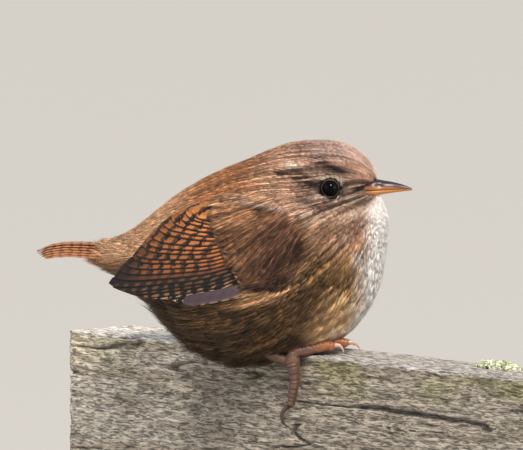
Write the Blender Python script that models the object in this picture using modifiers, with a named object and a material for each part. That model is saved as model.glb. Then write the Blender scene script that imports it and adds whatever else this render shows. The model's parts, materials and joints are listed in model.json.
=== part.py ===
"""A life-size wren, fluffed up and gripping the edge of a short weathered rail, on a display stand.

The row frame is in metres, +Z up, its origin at the centre of the stand's underside, and the
wren faces +X. Sizes here are in millimetres, in the wren's own frame: x forward, y to its left,
z up from the top of the rail, with x = y = 0 between its feet. to_row() turns them into metres
in the row frame.
"""

import math

import bmesh
import bpy
import numpy as np
from mathutils import Matrix, Vector

MM = 0.001
GAP = 0.3                      # clearance between neighbouring pieces
WELD = 0.001                   # points closer than this are one

# Perch and stand
RAIL_LENGTH = 165.0
RAIL_WIDTH = 20.0
RAIL_HEIGHT = 32.0
RAIL_YAW = -38.0               # degrees from the wren's heading
RAIL_BEHIND = 84.0             # length of rail on the far side of the grip
RAIL_BEVEL = 0.7
GRIP = (0.6, -5.5)             # where the near foot crosses the rail's edge
RAIL_TOP = 0.8
CRACK_COUNT = 5                # drying cracks in the near face
CRACK_START = (-10.0, 30.0)    # least and most, along the rail from the grip
CRACK_LENGTH = (22.0, 44.0)
CRACK_HALF = (0.25, 0.45)      # half width
CRACK_DEPTH = 1.6
CRACK_FIRST = 5.2              # the topmost one below the rail's top
CRACK_STEP = 4.6
CRACK_STRAY = (1.5, 0.6)       # how far a crack and its points wander up or down
CRACK_SHAPE = ((0.0, 0.15), (0.25, 1.0), (0.6, 0.8), (1.0, 0.12))
BASE_LENGTH = 132.0
BASE_WIDTH = 62.0
BASE_HEIGHT = 6.0
BASE_BEVEL = 1.5
BASE_CORNER = 6.0
ROD_RADIUS = 2.5
ROD_HEIGHT = 13.0
ROD_SPACING = 76.0

# The body's forms: centre x and z, half length, half width, half depth, pitch in degrees
BODY_FORMS = {
    "torso": (-11.1, 22.3, 25.5, 21.3, 23.0, 33.0),
    "breast": (3.5, 18.2, 18.0, 15.5, 14.4, 53.0),
    "throat": (11.1, 29.1, 12.0, 9.4, 9.2, 65.0),
    "head": (4.8, 41.3, 13.0, 9.3, 10.0, 14.0),
    "face": (13.7, 40.0, 4.9, 3.4, 2.8, 33.0),
    "nape": (-8.5, 36.7, 16.4, 11.5, 9.1, 47.0),
    "rump": (-27.7, 26.3, 15.5, 12.5, 10.2, 42.0),
}
BLEND = 0.6                    # sharpness of the blend between the forms, per millimetre
BODY_CENTRE = np.array([-5.0, 0.0, 25.0])
BODY_REACH = 60.0
HEAD_PULL = 0.35               # draws the body's points towards the head
BODY_RINGS = 28
BODY_SEGMENTS = 42

# Thin planes that part the body: two points in the side view
HEAD_CUT = ((-10.5, 46.5), (20.5, 30.0))
NECK_CUT = ((-17.0, 44.5), (20.5, 22.0))
RUMP_CUT = ((-33.5, 5.0), (-27.0, 45.0))

# Head details
EYE_PLACE = (8.6, 41.05)
EYE_RADIUS = 2.3
EYE_DEPTH = 1.35               # centre of the eyeball below the surface
EYE_TURN = 13.0                # degrees forward of straight sideways
LID_RADIUS = 2.45
LID_THICKNESS = 0.5
LID_RISE = 1.25                # ring of lids above the eyeball's centre

# Beak: x, then height of the culmen, the mouth line and the lower edge, and half width
BEAK_STATIONS = (
    (13.5, 42.7, 40.0, 37.9, 2.4),
    (17.2, 42.75, 40.0, 38.5, 2.15),
    (19.8, 42.4, 40.1, 39.0, 1.6),
    (22.3, 42.0, 40.2, 39.45, 1.05),
    (24.4, 41.5, 40.3, 39.75, 0.7),
    (26.0, 40.95, 40.25, 39.95, 0.38),
    (26.9, 40.55, 40.2, 40.05, 0.14),
)
MOUTH_GAP = 0.15               # each mandible's distance from the mouth line
BEAK_ROUNDNESS = 0.8           # below 1 the section is fuller than an ellipse
BEAK_LEAST = 0.08              # least height of a mandible
BEAK_SIDES = 9
NOSTRIL_PLACE = (19.2, 1.5, 41.35)
NOSTRIL_SIZE = (0.95, 0.35, 0.28)
NOSTRIL_TILT = 8.0

# Folded wing, in the side view: each line runs from low to high
TIP_LINE = ((-29.5, 14.6), (-34.5, 14.5), (-38.6, 15.0), (-42.0, 15.9), (-45.1, 17.3),
            (-43.6, 19.6), (-41.6, 22.1), (-38.9, 24.6), (-36.6, 27.6), (-33.6, 30.9),
            (-29.4, 34.2), (-24.0, 36.8))
ROOT_LINE = ((-6.0, 18.4), (-9.0, 21.0), (-11.0, 25.0), (-12.5, 30.0), (-12.0, 35.5))
GREATER_TIPS = ((-13.5, 18.7), (-17.0, 24.5), (-20.0, 30.5), (-20.5, 36.0))
GREATER_ROOTS = ((-2.0, 20.0), (-5.0, 25.0), (-7.5, 30.5), (-9.0, 36.0))
MEDIAN_TIPS = ((-8.0, 20.0), (-10.5, 25.5), (-13.0, 31.5), (-13.5, 37.0))
MEDIAN_ROOTS = ((2.0, 22.0), (0.0, 27.0), (-3.0, 32.5), (-5.0, 37.5))
ALULA_TIPS = ((-8.5, 17.3), (-6.0, 18.6), (-4.0, 20.0))
ALULA_ROOTS = ((3.0, 20.5), (3.2, 22.0), (3.4, 23.5))
# Rows of feathers: roots, tips, count, half width of the lowest and the highest, how far the
# row stands out, sag, stations along each vane
WING_ROWS = (
    (ROOT_LINE, TIP_LINE, 14, (1.75, 2.7), 0.1, 0.5, 5),
    (GREATER_ROOTS, GREATER_TIPS, 7, (1.8, 2.1), 0.45, 0.0, 4),
    (MEDIAN_ROOTS, MEDIAN_TIPS, 6, (2.0, 2.3), 0.75, 0.0, 4),
    (ALULA_ROOTS, ALULA_TIPS, 3, (0.9, 1.1), 0.35, 0.0, 4),
)
SLIPPED_FEATHER = ((-9.0, 18.0), (-25.5, 14.2))   # one primary hangs below the right wing
SLIPPED_HALF = 1.4
SLIPPED_LAYER = 0.4
WING_LOW = ((5.0, 25.0), (2.0, 20.4), (-5.0, 17.8), (-14.0, 16.8), (-24.0, 16.0), (-32.0, 16.0),
            (-36.2, 17.4))
WING_HIGH = ((5.6, 28.0), (3.0, 35.0), (-4.0, 39.6), (-12.0, 40.0), (-20.0, 37.4), (-28.0, 31.6),
             (-36.0, 22.6))
WING_PROUD = (0.35, 1.0)       # outer face above the body, at the front edge and behind
WING_TUCK = (5.5, -7.0)        # stretch over which the front edge is tucked in
SHOULDER = ((-4.0, 30.0), (10.0, 8.0), 0.9)   # centre, spread and rise of the shoulder
CORE_COLUMNS = 11
CORE_ROWS = 6
CORE_INSET = 0.2               # the plate lies this far under the feathers
CORE_THICKNESS = 1.6
BLADE = (9.8, 0.4, -45.0, 16.0, 0.35, 20.0)  # plane of the wing tip behind the body
VANE_THICKNESS = 0.55
VANE_SHAPE = {                 # share of the length, share of the half width
    5: ((0.0, 0.8), (0.4, 1.0), (0.78, 0.95), (0.94, 0.6), (1.0, 0.22)),
    4: ((0.0, 0.85), (0.5, 1.0), (0.84, 0.85), (1.0, 0.3)),
}
VANE_SINK = 0.9                # the root lies this much deeper than the rest
VANE_TILT = 0.3                # the lower edge stands out by this, the upper edge tucks in
VANE_TIP = 0.75                # share of the thickness left at a wing feather's tip

# Tail: one side's feathers from the middle outwards
TAIL_ROOT = (-39.0, 24.6)
TAIL_TIP = (-64.4, 23.9)
TAIL_COUNT = 6
TAIL_FIRST_Y = 0.55
TAIL_STEP_Y = 0.372
TAIL_SPREAD = 2.365            # how much further out the outermost tip lies
TAIL_DROP = (0.945, 1.755, -1.35)   # drop of the outermost one: root, slope, bend
TAIL_ROLL = (6.0, 48.0)
TAIL_SHORTER = 2.6
TAIL_HALF_WIDTH = 2.0
TAIL_NARROWER = 0.1
TAIL_ARCH = 1.35               # the middle feathers bow upwards
TAIL_LEFT_LOWER = 0.06         # keeps the two sides' faces apart where they cross
TAIL_VANE_TIP = 0.6
TAIL_VANE_SHAPE = ((0.0, 0.45), (0.4, 1.0), (0.75, 1.0), (0.94, 0.62), (1.0, 0.25))
TAIL_CORE = ((1.1, 0.8), (-1.0, 1.0), (-4.0, 1.0), (-7.0, 0.7))   # x from the root, scale
TAIL_CORE_SIZE = (2.6, 1.1)
TAIL_CORE_LOWER = 0.3

# Tail coverts: x, centre z, half width, half height
COVERTS = (
    (-27.0, 24.0, 11.0, 8.5),
    (-33.0, 23.4, 10.6, 8.6),
    (-38.0, 23.1, 9.2, 7.3),
    (-41.0, 23.3, 7.9, 5.8),
    (-44.0, 23.5, 6.7, 4.4),
    (-47.0, 23.6, 5.8, 3.6),
    (-50.0, 23.2, 4.6, 2.3),
    (-52.4, 22.6, 2.4, 0.8),
)
COVERT_SIDES = 20
TAIL_SLOT = (-37.5, -54.0)
SLOT_HALF = (4.2, 7.4)         # half width at the tail's root and tip
SLOT_EAVES = (1.2, 3.6)        # drop of the outer edges there
SLOT_SECTION = (               # share of the half width, height, share of the drop
    (0.0, 1.25, 0.0), (0.55, 0.9, 0.0), (1.0, 0.4, 1.0), (1.0, -1.5, 1.0), (0.75, -1.9, 1.0),
    (0.0, -2.0, 0.0),
)

# Feet: centre lines from the ankle out, as points (x, y, z)
NEAR_TOES = (
    ((-1.0, -7.4, -1.0), (-0.4, -7.9, 1.1), (2.2, -7.6, 1.95), (5.0, -7.2, 2.5), (7.0, -6.9, 2.9),
     (8.6, -6.6, 2.7), (9.4, -6.5, 2.45)),
    ((-1.0, -7.4, -1.0), (-0.2, -7.0, 1.5), (2.6, -5.8, 2.1), (5.6, -4.4, 2.7), (8.4, -3.2, 3.3),
     (10.6, -2.4, 3.3), (11.9, -2.0, 2.9)),
    ((-1.0, -7.4, -1.0), (-0.4, -6.6, 1.5), (1.6, -4.4, 2.2), (3.6, -2.2, 2.4), (5.6, -0.2, 2.3),
     (7.2, 1.3, 2.1)),
    ((-1.0, -7.4, -1.0), (-0.5, -7.7, -3.0), (-0.3, -7.6, -6.0), (-0.8, -7.4, -9.0),
     (-1.2, -7.3, -10.8), (-1.4, -7.2, -12.0)),
)
NEAR_CLAWS = (
    ((8.8, -6.6, 3.0), (10.2, -6.5, 3.1), (11.1, -6.5, 2.3), (11.4, -6.6, 1.4)),
    ((11.4, -2.2, 3.3), (13.0, -1.7, 3.4), (14.1, -1.4, 2.5), (14.6, -1.3, 1.4)),
    ((6.8, 0.9, 2.2), (8.1, 2.1, 2.3), (9.0, 2.9, 1.9), (9.4, 3.2, 1.4)),
    ((-1.6, -7.3, -11.4), (-3.2, -7.5, -13.0), (-3.4, -7.4, -14.8), (-2.8, -6.8, -16.2),
     (-1.7, -5.8, -17.2)),
)
FAR_TOES = (
    ((-3.2, 6.3, 2.6), (-0.6, 8.3, 2.4), (2.0, 10.2, 2.6), (4.2, 11.8, 2.4), (5.6, 12.7, 2.2)),
    ((-3.2, 6.3, 2.6), (-0.2, 7.1, 2.4), (3.0, 7.9, 2.7), (6.2, 8.6, 2.5), (8.8, 9.2, 2.2)),
    ((-3.2, 6.3, 2.6), (-0.2, 5.8, 2.4), (2.6, 5.4, 2.6), (5.6, 5.0, 2.2)),
    ((-3.2, 6.3, 2.6), (-5.7, 5.9, 2.2), (-8.4, 6.2, 2.1), (-10.9, 6.6, 2.1)),
)
FAR_CLAWS = (
    ((5.2, 12.4, 2.4), (6.6, 13.4, 2.6), (7.4, 14.0, 2.0), (7.7, 14.2, 1.4)),
    ((8.4, 9.1, 2.4), (9.9, 9.5, 2.6), (10.9, 9.7, 2.0), (11.2, 9.8, 1.4)),
    ((5.2, 5.0, 2.4), (6.5, 4.8, 2.6), (7.3, 4.7, 2.0), (7.6, 4.6, 1.4)),
    ((-10.6, 6.6, 2.2), (-12.3, 6.9, 2.6), (-13.8, 7.2, 2.4), (-14.8, 7.4, 1.5)),
)
NEAR_TARSUS = ((-14.0, -8.6, 7.0), (-9.0, -8.0, 2.6), (-5.0, -7.6, 0.2), (-1.0, -7.4, -1.0))
FAR_TARSUS = ((-12.5, 8.8, 11.5), (-9.0, 8.1, 8.4), (-5.8, 7.2, 5.3), (-3.2, 6.3, 2.6))
TOE_RADIUS = (1.15, 0.9)
PAD_SWELL = 0.14
CLAW_RADIUS = (0.55, 0.1)
TARSUS_RADIUS = (1.35, 1.1)
TOE_SIDES = 8
CLAW_SIDES = 6
TOE_CLEAR = 0.7                # the belly keeps this far off the toes
ANKLE_CUT = 2.6                # where leg and foot part, measured back from the ankle

SMOOTH_ANGLE = math.radians(40.0)


def rail_axes():
    """The rail's direction and the outward normal of the face that the near foot grips."""
    yaw = math.radians(RAIL_YAW)
    along = np.array([math.cos(yaw), math.sin(yaw)])
    outward = np.array([math.sin(yaw), -math.cos(yaw)])
    return along, outward


def rail_centre():
    along, outward = rail_axes()
    middle = RAIL_LENGTH / 2 - RAIL_BEHIND
    return np.array(GRIP) + along * middle - outward * RAIL_WIDTH / 2


RAIL_BASE_Z = BASE_HEIGHT + ROD_HEIGHT
WREN_ORIGIN = np.array([*(-rail_centre()), RAIL_BASE_Z + RAIL_HEIGHT - RAIL_TOP])


def to_row(points):
    return (np.asarray(points, float) + WREN_ORIGIN) * MM


def clear_scene():
    for old in list(bpy.data.objects):
        bpy.data.objects.remove(old)


def material(name, colour, roughness, metallic=0.0):
    made = bpy.data.materials.new(name)
    made.use_nodes = True
    shader = made.node_tree.nodes["Principled BSDF"]
    shader.inputs["Base Color"].default_value = (*colour, 1.0)
    shader.inputs["Roughness"].default_value = roughness
    shader.inputs["Metallic"].default_value = metallic
    return made


def add_object(name, bm, collection):
    """A new object from a bmesh whose points are already in the row frame, in metres."""
    bmesh.ops.recalc_face_normals(bm, faces=bm.faces)
    mesh = bpy.data.meshes.new(name)
    bm.to_mesh(mesh)
    bm.free()
    made = bpy.data.objects.new(name, mesh)
    collection.objects.link(made)
    return made


def body_distance(points):
    """Roughly the signed distance in mm from the blended body surface, negative inside."""
    points = np.asarray(points, float)
    found = []
    for x, z, length, width, depth, pitch in BODY_FORMS.values():
        turn = math.radians(pitch)
        dx, dz = points[:, 0] - x, points[:, 2] - z
        local = np.stack([dx * math.cos(turn) + dz * math.sin(turn), points[:, 1],
                          -dx * math.sin(turn) + dz * math.cos(turn)], axis=1)
        radii = np.array([length, width, depth])
        near = np.linalg.norm(local / radii, axis=1)
        slope = np.linalg.norm(local / radii**2, axis=1) + 1e-9
        found.append(near * (near - 1.0) / slope)
    found = np.array(found)
    least = found.min(axis=0)
    return least - np.log(np.exp(-BLEND * (found - least)).sum(axis=0)) / BLEND


def first_outside(start, direction, level, reach):
    """Distance along each direction at which the body's distance reaches level."""
    low, high = np.zeros(len(direction)), np.full(len(direction), float(reach))
    for _ in range(40):
        middle = (low + high) / 2
        inside = body_distance(start + direction * middle[:, None]) < level
        low, high = np.where(inside, middle, low), np.where(inside, high, middle)
    return (low + high) / 2


def body_mesh(level=0.0):
    """The whole body, head to rump, as a bmesh: a ball of points pushed out to the surface.
    The ball's pole points at the face, so that the points are closest there."""
    bm = bmesh.new()
    bmesh.ops.create_uvsphere(bm, u_segments=BODY_SEGMENTS, v_segments=BODY_RINGS, radius=1.0)
    x, z = BODY_FORMS["face"][:2]
    face_way = np.array([x, 0.0, z]) - BODY_CENTRE
    face_way /= np.linalg.norm(face_way)
    turn = Vector(face_way).to_track_quat("Z", "Y").to_matrix()
    rays = np.array([turn @ v.co for v in bm.verts])
    rays = rays + HEAD_PULL * face_way
    rays /= np.linalg.norm(rays, axis=1)[:, None]
    reach = first_outside(BODY_CENTRE, rays, level, BODY_REACH)
    for vert, point in zip(bm.verts, to_row(BODY_CENTRE + rays * reach[:, None])):
        vert.co = point
    bmesh.ops.triangulate(bm, faces=bm.faces)
    return bm


def side_of_body(x, z):
    """Half width of the body at points of the side view, 0 outside its outline."""
    x, z = np.asarray(x, float), np.asarray(z, float)
    start = np.stack([x, np.zeros_like(x), z], axis=1)
    sideways = np.tile([0.0, 1.0, 0.0], (len(x), 1))
    reach = first_outside(start, sideways, 0.0, BODY_REACH)
    return np.where(body_distance(start) < 0.0, reach, 0.0)


def keep_side(bm, line, gap, above):
    """Cuts a bmesh by the plane through a line of the side view and keeps one side of it."""
    (x0, z0), (x1, z1) = line
    normal = np.array([-(z1 - z0), 0.0, x1 - x0])
    normal /= np.linalg.norm(normal)
    if not above:
        normal = -normal
    point = to_row(np.array([x0, 0.0, z0]) + normal * gap / 2)
    geometry = list(bm.verts) + list(bm.edges) + list(bm.faces)
    cut = bmesh.ops.bisect_plane(bm, geom=geometry, dist=1e-7, plane_co=point,
                                 plane_no=normal, clear_inner=True)
    rim = [e for e in cut["geom_cut"] if isinstance(e, bmesh.types.BMEdge)]
    bmesh.ops.contextual_create(bm, geom=rim)
    return bm


def boolean(target, cutters, operation, solver="EXACT"):
    """Joins or cuts target with the other objects, applies it and removes them."""
    pieces = bpy.data.collections.new("pieces")
    for cutter in cutters:
        pieces.objects.link(cutter)
    modifier = target.modifiers.new("boolean", "BOOLEAN")
    modifier.operation = operation
    modifier.operand_type = "COLLECTION"
    modifier.collection = pieces
    modifier.solver = solver
    bpy.context.view_layer.update()
    graph = bpy.context.evaluated_depsgraph_get()
    made = bpy.data.meshes.new_from_object(target.evaluated_get(graph))
    target.modifiers.clear()
    target.data = made
    for cutter in cutters:
        bpy.data.objects.remove(cutter)
    bpy.data.collections.remove(pieces)
    keep_largest(target)
    return target


def keep_largest(target):
    """Drops every closed surface of the object but its largest, also one that only touches
    it along an edge."""
    bm = bmesh.new()
    bm.from_mesh(target.data)
    bmesh.ops.remove_doubles(bm, verts=bm.verts, dist=WELD * MM)
    left, islands = set(bm.faces), []
    while left:
        todo, island = [left.pop()], []
        while todo:
            face = todo.pop()
            island.append(face)
            single = [edge for edge in face.edges if len(edge.link_faces) == 2]
            for other in {f for edge in single for f in edge.link_faces} & left:
                left.remove(other)
                todo.append(other)
        islands.append(island)
    islands.sort(key=len)
    for island in islands[:-1]:
        bmesh.ops.delete(bm, geom=island, context="FACES")
    bm.to_mesh(target.data)
    bm.free()


def oval(x, z, half_width, half_height, count):
    """A ring of points round an upright ellipse across the body."""
    angles = np.arange(count) * 2 * math.pi / count
    return np.stack([np.full(count, x), half_width * np.cos(angles),
                     z + half_height * np.sin(angles)], axis=1)


def loft(name, rings, collection):
    """A closed body through rings of points in mm, each ring with the same count."""
    bm = bmesh.new()
    rows = [[bm.verts.new(p) for p in to_row(ring)] for ring in rings]
    count = len(rows[0])
    for near, far in zip(rows, rows[1:]):
        for i in range(count):
            j = (i + 1) % count
            bm.faces.new((near[i], near[j], far[j]))
            bm.faces.new((near[i], far[j], far[i]))
    bm.faces.new(rows[0][::-1])
    bm.faces.new(rows[-1])
    return add_object(name, bm, collection)


def wedge(rings, collection):
    """A vane of wedge section: each ring is its exposed edge, its tucked edge and the back of
    the exposed edge. Both broad faces are split along the same diagonals, so they never cross."""
    bm = bmesh.new()
    rows = [[bm.verts.new(p) for p in to_row(ring)] for ring in rings]
    for near, far in zip(rows, rows[1:]):
        bm.faces.new((near[0], near[1], far[1]))
        bm.faces.new((near[0], far[1], far[0]))
        bm.faces.new((near[1], near[2], far[1]))
        bm.faces.new((near[2], far[2], far[1]))
        bm.faces.new((near[2], near[0], far[0]))
        bm.faces.new((near[2], far[0], far[2]))
    bm.faces.new(rows[0][::-1])
    bm.faces.new(rows[-1])
    return add_object("vane", bm, collection)


def along_line(points, count):
    """Points spread evenly along a smooth curve through the given ones."""
    points = np.asarray(points, float)
    steps = np.linalg.norm(np.diff(points, axis=0), axis=1)
    knots = np.concatenate([[0.0], np.cumsum(steps)])
    ends = np.vstack([2 * points[0] - points[1], points, 2 * points[-1] - points[-2]])
    made = []
    for place in np.linspace(0.0, knots[-1], count):
        i = min(int(np.searchsorted(knots, place, side="right")) - 1, len(points) - 2)
        t = (place - knots[i]) / (knots[i + 1] - knots[i])
        a, b, c, d = ends[i:i + 4]
        made.append(0.5 * (2 * b + (c - a) * t + (2 * a - 5 * b + 4 * c - d) * t**2
                           + (3 * b - a - 3 * c + d) * t**3))
    return np.array(made)


def tube(name, points, radii, sides, collection, stations=7, pads=0, swell=0.0, grow=0.0):
    """A round tapering tube along a smooth curve, with soft pads along it where asked."""
    line = along_line(points, stations)
    for end, inner in ((0, 1), (-1, -2)):
        way = line[end] - line[inner]
        line[end] += grow * way / np.linalg.norm(way)
    shape = bpy.data.curves.new(name, "CURVE")
    shape.dimensions = "3D"
    shape.bevel_depth = MM
    shape.bevel_resolution = (sides - 4) // 2
    shape.use_fill_caps = True
    spline = shape.splines.new("POLY")
    spline.points.add(stations - 1)
    for i, place in enumerate(to_row(line)):
        share = i / (stations - 1)
        spline.points[i].co = (*place, 1.0)
        spline.points[i].radius = (radii[0] + (radii[1] - radii[0]) * share + grow
                                   + swell * math.cos(2 * math.pi * pads * share))
    return mesh_from_curve(name, shape, collection)


def mesh_from_curve(name, shape, collection):
    """The curve's solid as a mesh object, with its caps welded on."""
    drawn = bpy.data.objects.new(name, shape)
    collection.objects.link(drawn)
    graph = bpy.context.evaluated_depsgraph_get()
    bm = bmesh.new()
    bm.from_mesh(drawn.evaluated_get(graph).to_mesh())
    bmesh.ops.remove_doubles(bm, verts=bm.verts, dist=1e-6)
    made = add_object(name, bm, collection)
    bpy.data.objects.remove(drawn)
    return made


def finish(target, name, skin):
    target.name = target.data.name = name
    target.data.materials.clear()
    target.data.materials.append(skin)
    target.data.shade_smooth()
    target.data.set_sharp_from_angle(angle=SMOOTH_ANGLE)
    return target


def eye_axis(side):
    turn = math.radians(EYE_TURN)
    return np.array([math.sin(turn), side * math.cos(turn), 0.0])


def eye_centre(side):
    x, z = EYE_PLACE
    surface = side_of_body([x], [z])[0]
    return np.array([x, side * surface, z]) - eye_axis(side) * EYE_DEPTH


def ball(name, centre, radius, collection):
    bm = bmesh.new()
    bmesh.ops.create_uvsphere(bm, u_segments=16, v_segments=9, radius=radius * MM)
    bmesh.ops.translate(bm, verts=bm.verts, vec=Vector(to_row(centre)))
    return add_object(name, bm, collection)


def lid_ring(side, collection):
    """The raised rim of the lids round one eye."""
    centre = eye_centre(side) + eye_axis(side) * LID_RISE
    bpy.ops.mesh.primitive_torus_add(
        major_segments=20, minor_segments=6, major_radius=LID_RADIUS * MM,
        minor_radius=LID_THICKNESS * MM, location=to_row(centre))
    ring = bpy.context.object
    ring.rotation_mode = "QUATERNION"
    ring.rotation_quaternion = Vector(eye_axis(side)).to_track_quat("Z", "Y")
    bpy.context.view_layer.update()
    ring.data.transform(ring.matrix_world)
    ring.matrix_world = Matrix.Identity(4)
    for owner in list(ring.users_collection):
        owner.objects.unlink(ring)
    collection.objects.link(ring)
    return ring


def make_head(collection, skins):
    """The head with its rimmed sockets, and the two eyeballs in them."""
    head = add_object("head", keep_side(body_mesh(), HEAD_CUT, GAP, above=True), collection)
    boolean(head, [lid_ring(side, collection) for side in (-1, 1)], "UNION")
    sockets = [ball("socket", eye_centre(side), EYE_RADIUS + GAP, collection)
               for side in (-1, 1)]
    boolean(head, sockets, "DIFFERENCE")
    finish(head, "head", skins["brown"])
    for side, name in ((-1, "eye_right"), (1, "eye_left")):
        finish(ball(name, eye_centre(side), EYE_RADIUS, collection), name, skins["eye"])


def make_neck_and_torso(collection, skins):
    """The middle of the body. The belly is hollowed where the feet and the rail meet it."""
    neck = keep_side(body_mesh(), HEAD_CUT, GAP, above=False)
    neck = add_object("neck", keep_side(neck, NECK_CUT, GAP, above=True), collection)
    finish(neck, "neck", skins["brown"])
    torso = keep_side(body_mesh(), NECK_CUT, GAP, above=False)
    torso = add_object("torso", keep_side(torso, RUMP_CUT, GAP, above=False), collection)
    cutters = [rail_block("cutter", collection, GAP)]
    for line in (NEAR_TARSUS, FAR_TARSUS):
        cutters.append(tube("cutter", line, TARSUS_RADIUS, TOE_SIDES, collection, grow=GAP))
    for line in (*NEAR_TOES, *FAR_TOES):
        cutters.append(tube("cutter", line, TOE_RADIUS, 6, collection, 5, grow=TOE_CLEAR))
    for line in (*NEAR_CLAWS, *FAR_CLAWS):
        cutters.append(tube("cutter", line, CLAW_RADIUS, CLAW_SIDES, collection, 5, grow=GAP))
    boolean(torso, cutters, "DIFFERENCE")
    finish(torso, "torso", skins["pale"])


def slot_ring(x):
    """Ten points round the roof-shaped section at x of the slot for the folded tail."""
    share = (x - TAIL_ROOT[0]) / (TAIL_TIP[0] - TAIL_ROOT[0])
    middle = TAIL_ROOT[1] + (TAIL_TIP[1] - TAIL_ROOT[1]) * share
    share = min(max(share, 0.0), 1.0)
    middle += TAIL_ARCH * math.sin(math.pi * share)
    half = SLOT_HALF[0] + (SLOT_HALF[1] - SLOT_HALF[0]) * share
    drop = SLOT_EAVES[0] + (SLOT_EAVES[1] - SLOT_EAVES[0]) * share
    left = [(x, half * across, middle + height - drop * fall)
            for across, height, fall in SLOT_SECTION]
    right = [(x, -y, z) for x, y, z in reversed(left[1:-1])]
    return left + right


def make_rump(collection, skins):
    """The rump and the tail coverts, with a slot that the folded tail comes out of."""
    rump = add_object("rump", keep_side(body_mesh(), RUMP_CUT, GAP, above=True), collection)
    rings = [oval(x, z, width, height, COVERT_SIDES) for x, z, width, height in COVERTS]
    cone = loft("coverts", rings, collection)
    front = bmesh.new()
    front.from_mesh(cone.data)
    keep_side(front, RUMP_CUT, GAP, above=True)
    bmesh.ops.recalc_face_normals(front, faces=front.faces)
    front.to_mesh(cone.data)
    front.free()
    boolean(rump, [cone], "UNION")
    slot = loft("slot", [slot_ring(x) for x in TAIL_SLOT], collection)
    boolean(rump, [slot], "DIFFERENCE")
    finish(rump, "rump", skins["rufous"])


def tail_feather(index, side, collection):
    """One tail feather, the first on each side lying on top of the others."""
    share = index / (TAIL_COUNT - 1)
    roll = math.radians(TAIL_ROLL[0] + (TAIL_ROLL[1] - TAIL_ROLL[0]) * share)
    across = np.array([0.0, side * math.cos(roll), -math.sin(roll)])
    up = np.array([0.0, side * math.sin(roll), math.cos(roll)])
    root, slope, bend = TAIL_DROP
    rings = []
    for s, breadth in TAIL_VANE_SHAPE:
        x = TAIL_ROOT[0] + s * (TAIL_TIP[0] + TAIL_SHORTER * share**1.5 - TAIL_ROOT[0])
        y = side * (TAIL_FIRST_Y + TAIL_STEP_Y * index + TAIL_SPREAD * share * s)
        z = TAIL_ROOT[1] + (TAIL_TIP[1] - TAIL_ROOT[1]) * s + TAIL_ARCH * math.sin(math.pi * s)
        z -= share * (root + slope * s + bend * s**2) + TAIL_LEFT_LOWER * (side > 0)
        centre = np.array([x, y, z])
        half = TAIL_HALF_WIDTH * breadth * (1.0 - TAIL_NARROWER * share)
        thick = VANE_THICKNESS * (1.0 if s < 0.9 else TAIL_VANE_TIP)
        outer, inner = centre + across * half, centre - across * half
        rings.append([outer + up * thick / 2, inner - up * thick / 2, outer - up * thick / 2])
    return wedge(rings, collection)


def make_tail(collection, skins):
    """The folded tail: a short core that its feathers overlap on."""
    x, z = TAIL_ROOT
    width, height = TAIL_CORE_SIZE
    rings = [oval(x + ahead, z - TAIL_CORE_LOWER, width * scale, height * scale, 12)
             for ahead, scale in TAIL_CORE]
    tail = loft("tail", rings, collection)
    vanes = [tail_feather(i, side, collection) for i in range(TAIL_COUNT) for side in (-1, 1)]
    boolean(tail, vanes, "UNION")
    finish(tail, "tail", skins["barred"])


def wing_reach(x, z):
    """Half width of the folded wing's outer face at points of the side view."""
    x, z = np.asarray(x, float), np.asarray(z, float)
    (cx, cz), (sx, sz), rise = SHOULDER
    lift = rise * np.exp(-((x - cx) / sx) ** 2 - ((z - cz) / sz) ** 2)
    lift = lift + np.interp(x, WING_TUCK[::-1], WING_PROUD[::-1])
    body = side_of_body(x, z) + lift
    tip_y, slope, tip_x, most, fall, level = BLADE
    blade = np.minimum(tip_y + slope * (x - tip_x), most) - fall * np.maximum(z - level, 0.0)
    high = np.maximum(body, blade)
    return high + np.log(np.exp(body - high) + np.exp(blade - high))


def wing_core(side, collection):
    """The plate under the feathers: a grid laid on the folded wing and thickened inwards."""
    bm = bmesh.new()
    bmesh.ops.create_grid(bm, x_segments=CORE_COLUMNS - 1, y_segments=CORE_ROWS - 1, size=1.0)
    low, high = along_line(WING_LOW, CORE_COLUMNS), along_line(WING_HIGH, CORE_COLUMNS)
    for vert in bm.verts:
        column = round((vert.co.x + 1.0) / 2 * (CORE_COLUMNS - 1))
        place = low[column] + (high[column] - low[column]) * (vert.co.y + 1.0) / 2
        reach = wing_reach(place[:1], place[1:])[0] - CORE_INSET
        vert.co = to_row((place[0], side * reach, place[1]))
    bmesh.ops.triangulate(bm, faces=bm.faces)
    bm.normal_update()
    if sum(f.normal.y for f in bm.faces) * side < 0:
        bmesh.ops.reverse_faces(bm, faces=bm.faces)
    mesh = bpy.data.meshes.new("core")
    bm.to_mesh(mesh)
    bm.free()
    core = bpy.data.objects.new("core", mesh)
    collection.objects.link(core)
    plate = core.modifiers.new("plate", "SOLIDIFY")
    plate.thickness = CORE_THICKNESS * MM
    plate.offset = -1.0
    return core


def wing_vane(root, tip, half, layer, sag, stations, side, collection):
    """A feather lying on the folded wing: its lower edge stands out over the next one down."""
    root, tip = np.asarray(root, float), np.asarray(tip, float)
    way = (tip - root) / np.linalg.norm(tip - root)
    across = np.array([way[1], -way[0]])
    if across[1] < 0:
        across = -across
    rings = []
    for s, breadth in VANE_SHAPE[stations]:
        middle = root + (tip - root) * s - across * sag * math.sin(math.pi * s)
        edges = np.array([middle - across * half * breadth, middle + across * half * breadth])
        reach = wing_reach(edges[:, 0], edges[:, 1]) - (VANE_SINK if s == 0.0 else 0.0)
        thick = VANE_THICKNESS * (1.0 if s < 0.9 else VANE_TIP)
        low, high = reach[0] + layer + VANE_TILT, reach[1] + layer - VANE_TILT
        rings.append([(edges[0][0], side * low, edges[0][1]),
                      (edges[1][0], side * high, edges[1][1]),
                      (edges[0][0], side * (low - thick), edges[0][1])])
    return wedge(rings, collection)


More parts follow.
